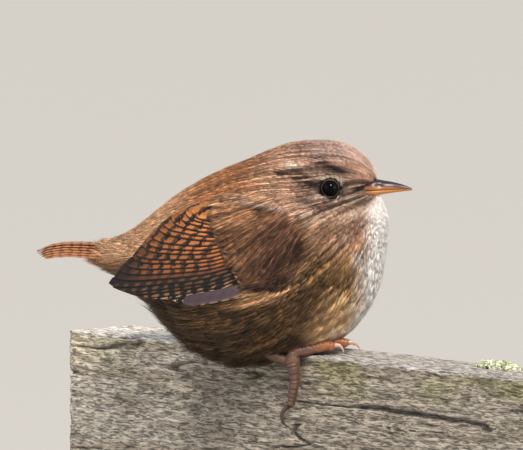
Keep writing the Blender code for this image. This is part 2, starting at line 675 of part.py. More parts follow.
def make_wing(side, name, collection, skins):
    """The folded wing: rows of feathers on a plate, hollowed to lie on the body."""
    wing = wing_core(side, collection)
    vanes = []
    for roots, tips, count, widths, layer, sag, stations in WING_ROWS:
        starts, ends = along_line(roots, count), along_line(tips, count)
        vanes += [wing_vane(root, tip, half, layer, sag, stations, side, collection)
                  for root, tip, half in zip(starts, ends, np.linspace(*widths, count))]
    if side < 0:
        vanes.append(wing_vane(*SLIPPED_FEATHER, SLIPPED_HALF, SLIPPED_LAYER, 0.0, 4, side,
                               collection))
    boolean(wing, vanes, "UNION", "MANIFOLD")
    inside = add_object("inside", body_mesh(GAP), collection)
    boolean(wing, [inside], "DIFFERENCE", "MANIFOLD")
    finish(wing, name, skins["barred"])


def make_beak(collection, skins):
    """Two mandibles with the line of the mouth between them, and a nostril on each side."""
    angles = np.linspace(0.0, math.pi, BEAK_SIDES)
    for name, up in (("beak_upper", 1), ("beak_lower", -1)):
        rings = []
        for x, top, mouth, bottom, half in BEAK_STATIONS:
            level = mouth + up * MOUTH_GAP
            height = max((top - level) if up > 0 else (level - bottom), BEAK_LEAST)
            y = half * np.cos(angles)
            z = level + up * height * np.sin(angles) ** BEAK_ROUNDNESS
            rings.append(np.stack([np.full(len(angles), x), y, z], axis=1))
        beak = loft(name, rings, collection)
        cutters = [add_object("head", body_mesh(GAP), collection)]
        if up > 0:
            cutters += [nostril(side, collection) for side in (-1, 1)]
        boolean(beak, cutters, "DIFFERENCE")
        finish(beak, name, skins["horn" if up > 0 else "yellow"])


def nostril(side, collection):
    bm = bmesh.new()
    bmesh.ops.create_uvsphere(bm, u_segments=10, v_segments=6, radius=1.0)
    x, y, z = NOSTRIL_PLACE
    place = Matrix.Translation(to_row((x, side * y, z)))
    turn = Matrix.Rotation(math.radians(NOSTRIL_TILT), 4, "Y")
    size = Matrix.Diagonal((*(s * MM for s in NOSTRIL_SIZE), 1.0))
    bmesh.ops.transform(bm, matrix=place @ turn @ size, verts=bm.verts)
    return add_object("nostril", bm, collection)


def make_leg(near, collection, skins):
    """A tarsus, and below it a foot with three toes forward, one back, and their claws."""
    word = "right" if near else "left"
    tarsus = np.array(NEAR_TARSUS if near else FAR_TARSUS)
    toes, claws = (NEAR_TOES, NEAR_CLAWS) if near else (FAR_TOES, FAR_CLAWS)
    way = tarsus[-2] - tarsus[-1]
    way /= np.linalg.norm(way)
    stub = [tarsus[-1] + way * ANKLE_CUT, tarsus[-1]]
    shank = [*tarsus[:-1], tarsus[-1] + way * (ANKLE_CUT + GAP)]
    leg = tube("leg", shank, TARSUS_RADIUS, TOE_SIDES, collection)
    finish(leg, "leg_" + word, skins["foot"])
    foot = tube("foot", stub, (TARSUS_RADIUS[1], TARSUS_RADIUS[1]), TOE_SIDES, collection, 3)
    pieces = [tube("toe", toe, TOE_RADIUS, TOE_SIDES, collection, stations=8, pads=3,
                   swell=PAD_SWELL) for toe in toes]
    pieces += [tube("claw", claw, CLAW_RADIUS, CLAW_SIDES, collection, stations=5)
               for claw in claws]
    boolean(foot, pieces, "UNION")
    finish(foot, "foot_" + word, skins["foot"])


def rail_block(name, collection, grow=0.0):
    """The plain rail, or the same block grown on every side as a cutter."""
    bm = bmesh.new()
    bmesh.ops.create_cube(bm, size=1.0)
    size = [(RAIL_LENGTH + 2 * grow) * MM, (RAIL_WIDTH + 2 * grow) * MM,
            (RAIL_HEIGHT + 2 * grow) * MM]
    bmesh.ops.scale(bm, vec=size, verts=bm.verts)
    bmesh.ops.bevel(bm, geom=bm.edges, offset=RAIL_BEVEL * MM, segments=2, affect="EDGES")
    bmesh.ops.rotate(bm, verts=bm.verts, matrix=Matrix.Rotation(math.radians(RAIL_YAW), 3, "Z"))
    place = to_row((*rail_centre(), RAIL_TOP - RAIL_HEIGHT / 2))
    bmesh.ops.translate(bm, verts=bm.verts, vec=Vector(place))
    return add_object(name, bm, collection)


def make_perch(collection, skins):
    """A sawn rail with drying cracks along its near face and one sawn end."""
    rail = rail_block("perch_rail", collection)
    along, outward = rail_axes()
    chance = np.random.default_rng(7)
    stray, wander = CRACK_STRAY
    cracks = []
    for i in range(CRACK_COUNT):
        start = chance.uniform(*CRACK_START)
        length = chance.uniform(*CRACK_LENGTH)
        level = -CRACK_FIRST - CRACK_STEP * i - chance.uniform(0.0, stray)
        half = chance.uniform(*CRACK_HALF)
        rings = []
        for share, breadth in CRACK_SHAPE:
            place = np.array(GRIP) + along * (start + length * share)
            mouth, bottom = place + outward * 2 * GAP, place - outward * CRACK_DEPTH * breadth
            z = level + chance.uniform(-wander, wander)
            rings.append([(*mouth, z + half * breadth), (*bottom, z),
                          (*mouth, z - half * breadth)])
        cracks.append(loft("crack", rings, collection))
    boolean(rail, cracks, "DIFFERENCE")
    finish(rail, "perch_rail", skins["wood"])


def make_stand(collection, skins):
    """A flat base with rounded corners, and two rods that carry the rail."""
    bm = bmesh.new()
    bmesh.ops.create_cube(bm, size=1.0)
    size = (BASE_LENGTH * MM, BASE_WIDTH * MM, BASE_HEIGHT * MM)
    bmesh.ops.scale(bm, vec=size, verts=bm.verts)
    uprights = [e for e in bm.edges if abs(e.verts[0].co.z - e.verts[1].co.z) > 1e-6]
    bmesh.ops.bevel(bm, geom=uprights, offset=BASE_CORNER * MM, segments=5, affect="EDGES")
    rims = [e for e in bm.edges if e.verts[0].co.z > 0 and e.verts[1].co.z > 0
            and len({f.normal.z > 0.9 for f in e.link_faces}) == 2]
    bmesh.ops.bevel(bm, geom=rims, offset=BASE_BEVEL * MM, segments=2, affect="EDGES")
    turn = Matrix.Rotation(math.radians(RAIL_YAW), 3, "Z")
    bmesh.ops.rotate(bm, verts=bm.verts, matrix=turn)
    bmesh.ops.translate(bm, verts=bm.verts, vec=(0.0, 0.0, BASE_HEIGHT / 2 * MM))
    finish(add_object("stand_base", bm, collection), "stand_base", skins["base"])
    for name, sign in (("stand_rod_near", 1), ("stand_rod_far", -1)):
        bm = bmesh.new()
        bmesh.ops.create_cone(bm, cap_ends=True, segments=20, radius1=ROD_RADIUS * MM,
                              radius2=ROD_RADIUS * MM, depth=(ROD_HEIGHT - 2 * GAP) * MM)
        place = turn @ Vector((sign * ROD_SPACING / 2 * MM, 0.0, 0.0))
        place.z = (BASE_HEIGHT + ROD_HEIGHT / 2) * MM
        bmesh.ops.translate(bm, verts=bm.verts, vec=place)
        finish(add_object(name, bm, collection), name, skins["metal"])


def make_wren():
    clear_scene()
    collection = bpy.data.collections.new("wren")
    bpy.context.scene.collection.children.link(collection)
    skins = {
        "brown": material("brown body feathers", (0.30, 0.17, 0.09), 0.85),
        "pale": material("buff belly feathers", (0.42, 0.30, 0.19), 0.85),
        "rufous": material("rufous rump feathers", (0.36, 0.16, 0.06), 0.8),
        "barred": material("barred wing and tail feathers", (0.28, 0.12, 0.05), 0.7),
        "horn": material("dark horn of the upper mandible", (0.05, 0.03, 0.03), 0.3),
        "yellow": material("yellow horn of the lower mandible", (0.62, 0.27, 0.04), 0.35),
        "eye": material("black eye", (0.01, 0.008, 0.007), 0.05),
        "foot": material("brown pink scutes", (0.38, 0.18, 0.11), 0.5),
        "wood": material("weathered softwood", (0.28, 0.24, 0.19), 0.85),
        "base": material("dark stained display base", (0.06, 0.04, 0.03), 0.4),
        "metal": material("brushed steel rod", (0.5, 0.5, 0.5), 0.35, 1.0),
    }
    make_head(collection, skins)
    make_neck_and_torso(collection, skins)
    make_rump(collection, skins)
    make_tail(collection, skins)
    make_wing(-1, "wing_right", collection, skins)
    make_wing(1, "wing_left", collection, skins)
    make_beak(collection, skins)
    make_leg(True, collection, skins)
    make_leg(False, collection, skins)
    make_perch(collection, skins)
    make_stand(collection, skins)


make_wren()
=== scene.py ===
"""A wren, fluffed up against the cold, gripping the edge of a weathered rail on a display stand.

The frame is in metres, +Z up. Sizes here are in millimetres in the wren's own frame, as in the
part's source: x forward, y to its left, z up from the top of the rail, and x = y = 0 between its
feet. to_row() turns them into metres in the frame.
"""

import json
import math

import bmesh
import bpy
import numpy as np
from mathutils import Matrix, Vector
from mathutils.kdtree import KDTree

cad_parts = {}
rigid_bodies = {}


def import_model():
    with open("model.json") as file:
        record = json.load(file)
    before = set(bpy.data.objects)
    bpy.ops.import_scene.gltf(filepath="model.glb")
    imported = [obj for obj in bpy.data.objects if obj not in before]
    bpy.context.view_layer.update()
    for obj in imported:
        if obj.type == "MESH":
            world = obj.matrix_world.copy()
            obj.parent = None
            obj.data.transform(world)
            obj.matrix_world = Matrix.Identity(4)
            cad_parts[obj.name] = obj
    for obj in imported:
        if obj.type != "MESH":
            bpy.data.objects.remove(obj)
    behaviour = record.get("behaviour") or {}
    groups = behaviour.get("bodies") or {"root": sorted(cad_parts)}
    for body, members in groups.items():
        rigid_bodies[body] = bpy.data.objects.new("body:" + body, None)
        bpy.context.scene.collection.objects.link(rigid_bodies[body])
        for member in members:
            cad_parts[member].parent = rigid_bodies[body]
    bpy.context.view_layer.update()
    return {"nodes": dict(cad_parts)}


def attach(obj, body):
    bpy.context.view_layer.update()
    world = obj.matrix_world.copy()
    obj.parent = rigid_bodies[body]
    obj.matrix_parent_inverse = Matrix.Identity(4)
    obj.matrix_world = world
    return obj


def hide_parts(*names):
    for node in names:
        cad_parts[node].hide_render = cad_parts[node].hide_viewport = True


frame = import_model()

MM = 0.001

RAIL_ROWS = 360
RAIL_SPACINGS = (0.35, 0.8, 1.0, 0.28)   # over the top, the far face, the bottom, the near face

# Perch and stand, as in the part's source
RAIL_LENGTH = 165.0
RAIL_WIDTH = 20.0
RAIL_HEIGHT = 32.0
RAIL_YAW = math.radians(-38.0)
RAIL_BEHIND = 84.0
RAIL_TOP = 0.8
GRIP = np.array([0.6, -5.5])
BASE_HEIGHT = 6.0
ROD_HEIGHT = 13.0
ALONG = np.array([math.cos(RAIL_YAW), math.sin(RAIL_YAW)])
OUTWARD = np.array([math.sin(RAIL_YAW), -math.cos(RAIL_YAW)])
RAIL_CENTRE = GRIP + ALONG * (RAIL_LENGTH / 2 - RAIL_BEHIND) - OUTWARD * RAIL_WIDTH / 2
WREN_ORIGIN = np.array([*(-RAIL_CENTRE), BASE_HEIGHT + ROD_HEIGHT + RAIL_HEIGHT - RAIL_TOP])

# The body's forms: centre x and z, half length, half width, half depth, pitch in degrees
BODY_FORMS = {
    "torso": (-11.1, 22.3, 25.5, 21.3, 23.0, 33.0),
    "breast": (3.5, 18.2, 18.0, 15.5, 14.4, 53.0),
    "throat": (11.1, 29.1, 12.0, 9.4, 9.2, 65.0),
    "head": (4.8, 41.3, 13.0, 9.3, 10.0, 14.0),
    "face": (12.8, 39.8, 3.6, 3.0, 2.5, 33.0),
    "nape": (-8.5, 36.7, 16.4, 11.5, 9.1, 47.0),
    "rump": (-27.7, 26.3, 15.5, 12.5, 10.2, 42.0),
}
BLEND = 0.6
BODY_CENTRE = np.array([-5.0, 0.0, 25.0])
BODY_REACH = 60.0
# Tail coverts: x, centre z, half width, half height
COVERTS = np.array([
    (-52.4, 22.6, 2.4, 0.8), (-50.0, 23.2, 4.6, 2.3), (-47.0, 23.6, 5.8, 3.6),
    (-44.0, 23.5, 6.7, 4.4), (-41.0, 23.3, 7.9, 5.8), (-38.0, 23.1, 9.2, 7.3),
    (-33.0, 23.4, 10.6, 8.6), (-27.0, 24.0, 11.0, 8.5),
])

# Bill: x, then height of the culmen, the mouth line and the lower edge, and half width
BEAK_STATIONS = np.array([
    (13.5, 42.2, 39.9, 38.0, 2.2), (17.2, 42.75, 40.0, 38.4, 2.5), (19.8, 42.4, 40.1, 39.0, 1.75),
    (22.3, 42.0, 40.2, 39.45, 1.05), (24.4, 41.5, 40.3, 39.75, 0.7),
    (26.0, 40.95, 40.25, 39.95, 0.38), (26.9, 40.55, 40.2, 40.05, 0.14),
])

EYE_PLACE = (8.6, 41.05)
EYE_RADIUS = 2.3
EYE_DEPTH = 1.35
EYE_TURN = math.radians(13.0)
LID_RISE = 1.25
LID_OPENING = 1.92

# Folded wing, in the side view
TIP_LINE = ((-29.5, 14.6), (-34.5, 14.5), (-38.6, 15.0), (-42.0, 15.9), (-45.1, 17.3),
            (-43.6, 19.6), (-41.6, 22.1), (-38.9, 24.6), (-36.6, 27.6), (-33.6, 30.9),
            (-29.4, 34.2), (-24.0, 36.8))
ROOT_LINE = ((-6.0, 18.4), (-9.0, 21.0), (-11.0, 25.0), (-12.5, 30.0), (-12.0, 35.5))
GREATER_TIPS = ((-11.0, 18.5), (-14.0, 24.0), (-17.5, 30.0), (-19.0, 36.0))
GREATER_ROOTS = ((-2.0, 20.0), (-5.0, 25.0), (-7.5, 30.5), (-9.0, 36.0))
MEDIAN_TIPS = ((-8.0, 20.0), (-10.5, 25.5), (-13.0, 31.5), (-13.5, 37.0))
MEDIAN_ROOTS = ((2.0, 22.0), (0.0, 27.0), (-3.0, 32.5), (-5.0, 37.5))
ALULA_TIPS = ((-7.5, 17.6), (-5.6, 18.8), (-3.6, 20.2))
ALULA_ROOTS = ((0.5, 20.2), (0.9, 21.4), (1.2, 22.6))
WING_LOW = ((5.0, 25.0), (2.0, 20.4), (-5.0, 17.8), (-14.0, 16.8), (-24.0, 16.0), (-32.0, 16.0),
            (-36.2, 17.4))
WING_HIGH = ((5.6, 28.0), (3.0, 35.0), (-4.0, 39.6), (-12.0, 40.0), (-20.0, 37.4), (-28.0, 31.6),
             (-36.0, 22.6))
WING_PROUD = (0.35, 1.0)
WING_TUCK = (5.5, -7.0)
SHOULDER = ((-4.0, 30.0), (10.0, 8.0), 0.9)
BLADE = (9.8, 0.4, -45.0, 16.0, 0.35, 20.0)
SLIPPED_FEATHER = ((-9.0, 18.0), (-25.5, 14.2))

TAIL_ROOT = (-39.0, 24.6)
TAIL_TIP = (-64.4, 23.9)
TAIL_COUNT = 6
TAIL_RISE = ((0.0, 0.2, 0.37, 0.55, 0.73, 0.88, 1.0), (0.0, 1.2, 1.75, 2.0, 2.05, 1.5, 0.2))
def to_row(points):
    return (np.asarray(points, float) + WREN_ORIGIN) * MM


def unit(vectors):
    return vectors / (np.linalg.norm(vectors, axis=-1, keepdims=True) + 1e-12)


def ease(low, high, values):
    """0 below low, 1 above high, smooth between."""
    share = np.clip((np.asarray(values, float) - low) / (high - low), 0.0, 1.0)
    return share * share * (3.0 - 2.0 * share)


def linear(code):
    """The linear colour of an sRGB hex value."""
    parts = np.array([int(code[i:i + 2], 16) for i in (1, 3, 5)]) / 255.0
    return np.where(parts <= 0.04045, parts / 12.92, ((parts + 0.055) / 1.055) ** 2.4)


def along_line(points, count):
    """Points spread evenly along a smooth curve through the given ones."""
    points = np.asarray(points, float)
    steps = np.linalg.norm(np.diff(points, axis=0), axis=1)
    knots = np.concatenate([[0.0], np.cumsum(steps)])
    ends = np.vstack([2 * points[0] - points[1], points, 2 * points[-1] - points[-2]])
    places = np.linspace(0.0, knots[-1], count)
    i = np.clip(np.searchsorted(knots, places, side="right") - 1, 0, len(points) - 2)
    t = ((places - knots[i]) / (knots[i + 1] - knots[i]))[:, None]
    a, b, c, d = ends[i], ends[i + 1], ends[i + 2], ends[i + 3]
    return 0.5 * (2 * b + (c - a) * t + (2 * a - 5 * b + 4 * c - d) * t**2
                  + (3 * b - a - 3 * c + d) * t**3)


LATTICE = np.random.default_rng(3).random((32, 32, 32))


def cloud(points, size):
    """Smooth noise from 0 to 1 whose lumps are about size mm across, also per axis."""
    places = np.asarray(points, float) / size + 100.0
    cell = np.floor(places).astype(int)
    share = places - cell
    share = share * share * (3.0 - 2.0 * share)
    total = 0.0
    for corner in np.ndindex(2, 2, 2):
        weight = np.prod(np.where(corner, share, 1.0 - share), axis=-1)
        i, j, k = np.moveaxis((cell + corner) % 32, -1, 0)
        total = total + weight * LATTICE[i, j, k]
    return total


def form_distance(points):
    """Roughly the signed distance in mm from the blended body, negative inside."""
    found = []
    for x, z, length, width, depth, pitch in BODY_FORMS.values():
        turn = math.radians(pitch)
        dx, dz = points[:, 0] - x, points[:, 2] - z
        local = np.stack([dx * math.cos(turn) + dz * math.sin(turn), points[:, 1],
                          -dx * math.sin(turn) + dz * math.cos(turn)], axis=1)
        radii = np.array([length, width, depth])
        near = np.linalg.norm(local / radii, axis=1)
        found.append(near * (near - 1.0) / (np.linalg.norm(local / radii**2, axis=1) + 1e-9))
    return soft_least(found)


def soft_least(found):
    found = np.array(found)
    least = found.min(axis=0)
    return least - np.log(np.exp(-BLEND * (found - least)).sum(axis=0)) / BLEND


def body_distance(points):
    """The same for the body with the tail coverts."""
    x, y, z = points.T
    middle, width, height = (np.interp(x, COVERTS[:, 0], COVERTS[:, i]) for i in (1, 2, 3))
    side = (np.hypot(y / width, (z - middle) / height) - 1.0) * np.minimum(width, height)
    coverts = np.maximum(side, np.maximum(COVERTS[0, 0] - x, x - COVERTS[-1, 0]))
    return soft_least([form_distance(points), coverts])


def outward(points):
    """The body's outward normals."""
    step = 0.05
    slope = [body_distance(points + step * axis) - body_distance(points - step * axis)
             for axis in np.eye(3)]
    return unit(np.stack(slope, axis=1))


def settle(points, level):
    """Moves points straight in or out until they lie at that height over the body."""
    for _ in range(3):
        points = points + outward(points) * (level - body_distance(points))[:, None]
    return points


def first_outside(start, ways, distance, reach=BODY_REACH):
    low, high = np.zeros(len(ways)), np.full(len(ways), reach)
    for _ in range(36):
        middle = (low + high) / 2
        inside = distance(start + ways * middle[:, None]) < 0.0
        low, high = np.where(inside, middle, low), np.where(inside, high, middle)
    return (low + high) / 2


def side_of_body(x, z):
    """Half width of the body at points of the side view, 0 outside its outline."""
    start = np.stack([x, np.zeros_like(x), z], axis=1)
    sideways = np.tile([0.0, 1.0, 0.0], (len(x), 1))
    reach = first_outside(start, sideways, form_distance)
    return np.where(form_distance(start) < 0.0, reach, 0.0)


def wing_reach(x, z):
    """Half width of the folded wing's outer face at points of the side view."""
    x, z = np.asarray(x, float), np.asarray(z, float)
    (cx, cz), (sx, sz), rise = SHOULDER
    lift = rise * np.exp(-((x - cx) / sx) ** 2 - ((z - cz) / sz) ** 2)
    lift = lift + np.interp(x, WING_TUCK[::-1], WING_PROUD[::-1])
    body = (side_of_body(x.ravel(), z.ravel())).reshape(x.shape) + lift
    tip_y, slope, tip_x, most, fall, level = BLADE
    blade = np.minimum(tip_y + slope * (x - tip_x), most) - fall * np.maximum(z - level, 0.0)
    high = np.maximum(body, blade)
    return high + np.log(np.exp(body - high) + np.exp(blade - high))


WING_OUTLINE = np.vstack([along_line(WING_LOW, 40), along_line(WING_HIGH, 40)[::-1]])


def line_distance(points, line):
    """Distance of points (n, 2) from a polyline."""
    line = np.asarray(line, float)
    best = np.full(len(points), np.inf)
    for a, b in zip(line, line[1:]):
        share = np.clip(((points - a) @ (b - a)) / ((b - a) @ (b - a) + 1e-12), 0.0, 1.0)
        best = np.minimum(best, np.linalg.norm(points - a - share[:, None] * (b - a), axis=1))
    return best


def inside_wing(points, outline=WING_OUTLINE):
    """How far inside the wing's outline points (n, 2) of the side view lie, negative outside."""
    x, z = points.T
    inside = np.zeros(len(points), bool)
    loop = np.vstack([outline, outline[:1]])
    for (x0, z0), (x1, z1) in zip(loop, loop[1:]):
        with np.errstate(divide="ignore", invalid="ignore"):
            crosses = ((z0 > z) != (z1 > z)) & (x < (x1 - x0) * (z - z0) / (z1 - z0) + x0)
        inside ^= crosses
    distance = line_distance(points, loop)
    return np.where(inside, distance, -distance)


TIP_OUTLINE = np.vstack([along_line(TIP_LINE, 60), [(-2.0, 46.0), (12.0, 36.0), (4.0, 8.0),
                                                    (-24.0, 12.5)]])


REAR_WING = np.vstack([TIP_OUTLINE[:60], [(-18.0, 36.5), (-14.0, 17.0), (-20.0, 16.0)]])


def trimmed(points):
    """Draws points (n, 2) of the side view in to the line through the flight feathers' tips."""
    best = np.full(len(points), np.inf)
    nearest = points.copy()
    for a, b in zip(TIP_OUTLINE[:59], TIP_OUTLINE[1:60]):
        share = np.clip(((points - a) @ (b - a)) / ((b - a) @ (b - a) + 1e-12), 0.0, 1.0)
        place = a + share[:, None] * (b - a)
        away = np.linalg.norm(points - place, axis=1)
        nearest = np.where((away < best)[:, None], place, nearest)
        best = np.minimum(best, away)
    outside = inside_wing(points, TIP_OUTLINE) < 0.0
    return np.where(outside[:, None], nearest + 0.12 * (points - nearest), points)


def eye_axis(side):
    return np.array([math.sin(EYE_TURN), side * math.cos(EYE_TURN), 0.0])


def eye_centre(side):
    x, z = EYE_PLACE
    surface = side_of_body(np.array([x]), np.array([z]))[0]
    return np.array([x, side * surface, z]) - eye_axis(side) * EYE_DEPTH


# Meshes from arrays

def new_piece(name, points, faces, material, smooth=True):
    """A mesh object from points in mm and faces with the same count of corners."""
    mesh = bpy.data.meshes.new(name)
    mesh.vertices.add(len(points))
    mesh.vertices.foreach_set("co", to_row(points).ravel())
    mesh.loops.add(faces.size)
    mesh.loops.foreach_set("vertex_index", faces.ravel().astype(np.int32))
    mesh.polygons.add(len(faces))
    mesh.polygons.foreach_set("loop_start", np.arange(0, faces.size, faces.shape[1], dtype=np.int32))
    mesh.update(calc_edges=True)
    mesh.validate()
    mesh.materials.append(material)
    if smooth:
        mesh.shade_smooth()
    made = bpy.data.objects.new(name, mesh)
    bpy.context.scene.collection.objects.link(made)
    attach(made, "root")
    return made


def paint(piece, name, values):
    """Stores a value per point: a colour, or a vector for a pattern."""
    values = np.asarray(values, np.float32)
    layer = piece.data.attributes.new(name, "FLOAT_VECTOR", "POINT")
    layer.data.foreach_set("vector", values.ravel())


def lay_uv(piece, faces, places):
    layer = piece.data.uv_layers.new(name="OFBake")
    layer.data.foreach_set("uv", places[faces.ravel()].astype(np.float32).ravel())


def grid_faces(rows, columns, closed=False):
    """Quads of a grid of points, closed along its columns where asked."""
    i = np.arange(rows - 1)[:, None]
    j = np.arange(columns if closed else columns - 1)[None, :]
    k = (j + 1) % columns
    quads = np.stack([i * columns + j, i * columns + k, (i + 1) * columns + k,
                      (i + 1) * columns + j], axis=-1)
    return quads.reshape(-1, 4)


def halves(quads):
    return np.vstack([quads[:, [0, 1, 2]], quads[:, [0, 2, 3]]])


def join(parts):
    """Joins several (points, faces, values...) into one, the faces renumbered."""
    points, faces, start = [], [], 0
    extras = [[] for _ in parts[0][2:]]
    for part in parts:
        points.append(part[0])
        faces.append(part[1] + start)
        start += len(part[0])
        for extra, values in zip(extras, part[2:]):
            extra.append(values)
    return [np.vstack(points), np.vstack(faces)] + [np.vstack(e) for e in extras]


def closed_rings(rings):
    """A closed tube of triangles through rings (n, m, 3), each turning the same way."""
    rows, columns = rings.shape[:2]
    points = np.vstack([rings.reshape(-1, 3), rings[0].mean(axis=0), rings[-1].mean(axis=0)])
    j = np.arange(columns)
    k = (j + 1) % columns
    first, last = rows * columns, rows * columns + 1
    caps = np.vstack([np.stack([k, j, np.full(columns, first)], axis=1),
                      np.stack([j, k, np.full(columns, last)], axis=1)
                      + np.array([(rows - 1) * columns, (rows - 1) * columns, 0])])
    return points, np.vstack([halves(grid_faces(rows, columns, closed=True)), caps])


def outside_out(points, faces):
    """Turns every face round if the closed mesh is inside out."""
    a, b, c = (points[faces[:, i]] for i in range(3))
    if np.einsum("ij,ij->i", a, np.cross(b, c)).sum() < 0:
        faces = faces[:, ::-1]
    return points, faces


def closed_sheet(top, bottom):
    """A closed mesh of triangles from two grids of points (rows, columns, 3)."""
    rows, columns = top.shape[:2]
    upper = grid_faces(rows, columns)
    lower = upper[:, ::-1] + rows * columns
    edge = np.concatenate([np.arange(columns), np.arange(1, rows) * columns + columns - 1,
                           (rows - 1) * columns + np.arange(columns - 2, -1, -1),
                           np.arange(rows - 2, 0, -1) * columns])
    after = np.roll(edge, -1)
    rim = np.stack([edge, edge + rows * columns, after + rows * columns, after], axis=1)
    points = np.vstack([top.reshape(-1, 3), bottom.reshape(-1, 3)])
    return outside_out(points, halves(np.vstack([upper, lower, rim])))


# Materials

def node(tree, kind, settings=None, **links):
    """Adds a node. Settings go on it, and links name its inputs: a socket to join, or a value.
    An input with a number for a name is counted from 0."""
    made = tree.nodes.new("ShaderNode" + kind)
    for name, value in (settings or {}).items():
        setattr(made, name, value)
    for name, value in links.items():
        place = int(name[1:]) if name[1:].isdigit() else name.replace("_", " ")
        socket = made.inputs[place]
        if isinstance(value, bpy.types.NodeSocket):
            tree.links.new(value, socket)
        else:
            socket.default_value = value
    return made


def start_material(name, **sockets):
    """A new material, its tree and its Principled shader with the values given."""
    material = bpy.data.materials.new(name)
    material.use_nodes = True
    tree = material.node_tree
    shader = tree.nodes["Principled BSDF"]
    for socket, value in sockets.items():
        shader.inputs[socket.replace("_", " ")].default_value = value
    return material, tree, shader


def rgba(code):
    return (*linear(code), 1.0)


def per_metre(size_mm):
    """A noise scale whose lumps are about this many millimetres apart."""
    return 1.0 / (size_mm * MM)


def mixed(tree, share, first, second):
    """The colour between two, by share."""
    blend = node(tree, "Mix", {"data_type": "RGBA"}, i0=share)
    for place, value in ((6, first), (7, second)):
        if isinstance(value, bpy.types.NodeSocket):
            tree.links.new(value, blend.inputs[place])
        else:
            blend.inputs[place].default_value = value
    return blend.outputs[2]


def contour_feathers():
    """Contour feather, grown keratin barbs that part at the tips: dull, soft, with a faint sheen
    along the barbs. The colour is painted on, and the noise gives barbs of 0.35 mm."""
    material, tree, shader = start_material(
        "contour feather barbs", Roughness=0.72, Sheen_Weight=0.05, Sheen_Roughness=0.5,
        Specular_IOR_Level=0.2)
    painted = node(tree, "Attribute", {"attribute_name": "plumage"})
    place = node(tree, "TexCoord")
    mottle = node(tree, "TexNoise", Vector=place.outputs["Object"], Scale=per_metre(0.35),
                  Detail=2.0)
    tone = node(tree, "MapRange", Value=mottle.outputs[0], From_Min=0.3, From_Max=0.7,
                To_Min=0.93, To_Max=1.07)
    colour = node(tree, "VectorMath", {"operation": "SCALE"}, i0=painted.outputs["Vector"],
                  Scale=tone.outputs[0])
    tree.links.new(colour.outputs[0], shader.inputs["Base Color"])
    bump = node(tree, "Bump", Height=mottle.outputs[0], Strength=0.15, Distance=0.1 * MM)
    tree.links.new(bump.outputs[0], shader.inputs["Normal"])
    return material


def barred_vanes(name, period, dark_share, rim_shadow_share):
    """Flight feather, a closed web of keratin barbs: smooth, satin, with black bars across it.
    The pattern runs along the vane: x across from -1 to 1, y along in mm, z a number of its own.
    Barbs are 0.3 mm apart here, coarser than the real 0.1 mm, so that they show."""
    material, tree, shader = start_material(
        name, Roughness=0.5, Specular_IOR_Level=0.3, Sheen_Weight=0.03)
    vane = node(tree, "Attribute", {"attribute_name": "vane"})
    web = node(tree, "Attribute", {"attribute_name": "web"})
    bar = node(tree, "Attribute", {"attribute_name": "bar"})
    parts = node(tree, "SeparateXYZ", Vector=vane.outputs["Vector"])
    place = node(tree, "TexCoord")
    stray = node(tree, "TexNoise", Vector=place.outputs["Object"], Scale=per_metre(1.1), Detail=3.0)
    slant = node(tree, "Math", {"operation": "MULTIPLY_ADD"}, i0=parts.outputs["X"], i1=0.16,
                 i2=parts.outputs["Z"])
    turns = node(tree, "Math", {"operation": "MULTIPLY_ADD"}, i0=parts.outputs["Y"],
                 i1=1.0 / period, i2=slant.outputs[0])
    turns = node(tree, "Math", {"operation": "MULTIPLY_ADD"}, i0=stray.outputs[0], i1=1.1,
                 i2=turns.outputs[0])
    whole = node(tree, "Math", {"operation": "MULTIPLY"}, i0=turns.outputs[0], i1=2 * math.pi)
    wave = node(tree, "Math", {"operation": "SINE"}, i0=whole.outputs[0])
    edge = 1.0 - 2.0 * dark_share
    dark = node(tree, "MapRange", {"interpolation_type": "SMOOTHSTEP"}, Value=wave.outputs[0],
                From_Min=edge - 0.45, From_Max=edge + 0.45)
    # bars are blotchy: some parts of them are faint
    patchy = node(tree, "MapRange", Value=stray.outputs[0], From_Min=0.38, From_Max=0.55,
                  To_Min=0.7)
    strength = node(tree, "Math", {"operation": "MULTIPLY"}, i0=dark.outputs[0],
                    i1=patchy.outputs[0])
    barred = mixed(tree, strength.outputs[0], web.outputs["Vector"], bar.outputs["Vector"])
    # the exposed edge, where x is -1, has a thin dark rim that parts each vane from the next:
    # painted shadow along the edge
    rim = node(tree, "MapRange", {"interpolation_type": "SMOOTHSTEP"}, Value=parts.outputs["X"],
               From_Min=-0.66, From_Max=-0.86, To_Max=rim_shadow_share)
    edged = mixed(tree, rim.outputs[0], barred, rgba("#150d0a"))
    barbs = node(tree, "Math", {"operation": "MULTIPLY_ADD"}, i0=parts.outputs["X"], i1=-2.2,
                 i2=parts.outputs["Y"])
    count = node(tree, "Math", {"operation": "MULTIPLY"}, i0=barbs.outputs[0],
                 i1=2 * math.pi / 0.3)
    ridges = node(tree, "Math", {"operation": "SINE"}, i0=count.outputs[0])
    tone = node(tree, "MapRange", Value=ridges.outputs[0], From_Min=-1.0, To_Min=0.86,
                To_Max=1.1)
    # each strip is painted lighter along its lower edge and darker where the next one lies over it:
    # painted light and painted shade
    lit = node(tree, "MapRange", Value=parts.outputs["X"], From_Min=-0.72, From_Max=-0.3,
               To_Min=1.2, To_Max=0.7)
    tone = node(tree, "Math", {"operation": "MULTIPLY"}, i0=tone.outputs[0], i1=lit.outputs[0])
    colour = node(tree, "VectorMath", {"operation": "SCALE"}, i0=edged, Scale=tone.outputs[0])
    tree.links.new(colour.outputs[0], shader.inputs["Base Color"])
    bump = node(tree, "Bump", Height=ridges.outputs[0], Strength=0.2, Distance=0.05 * MM)
    tree.links.new(bump.outputs[0], shader.inputs["Normal"])
    return material


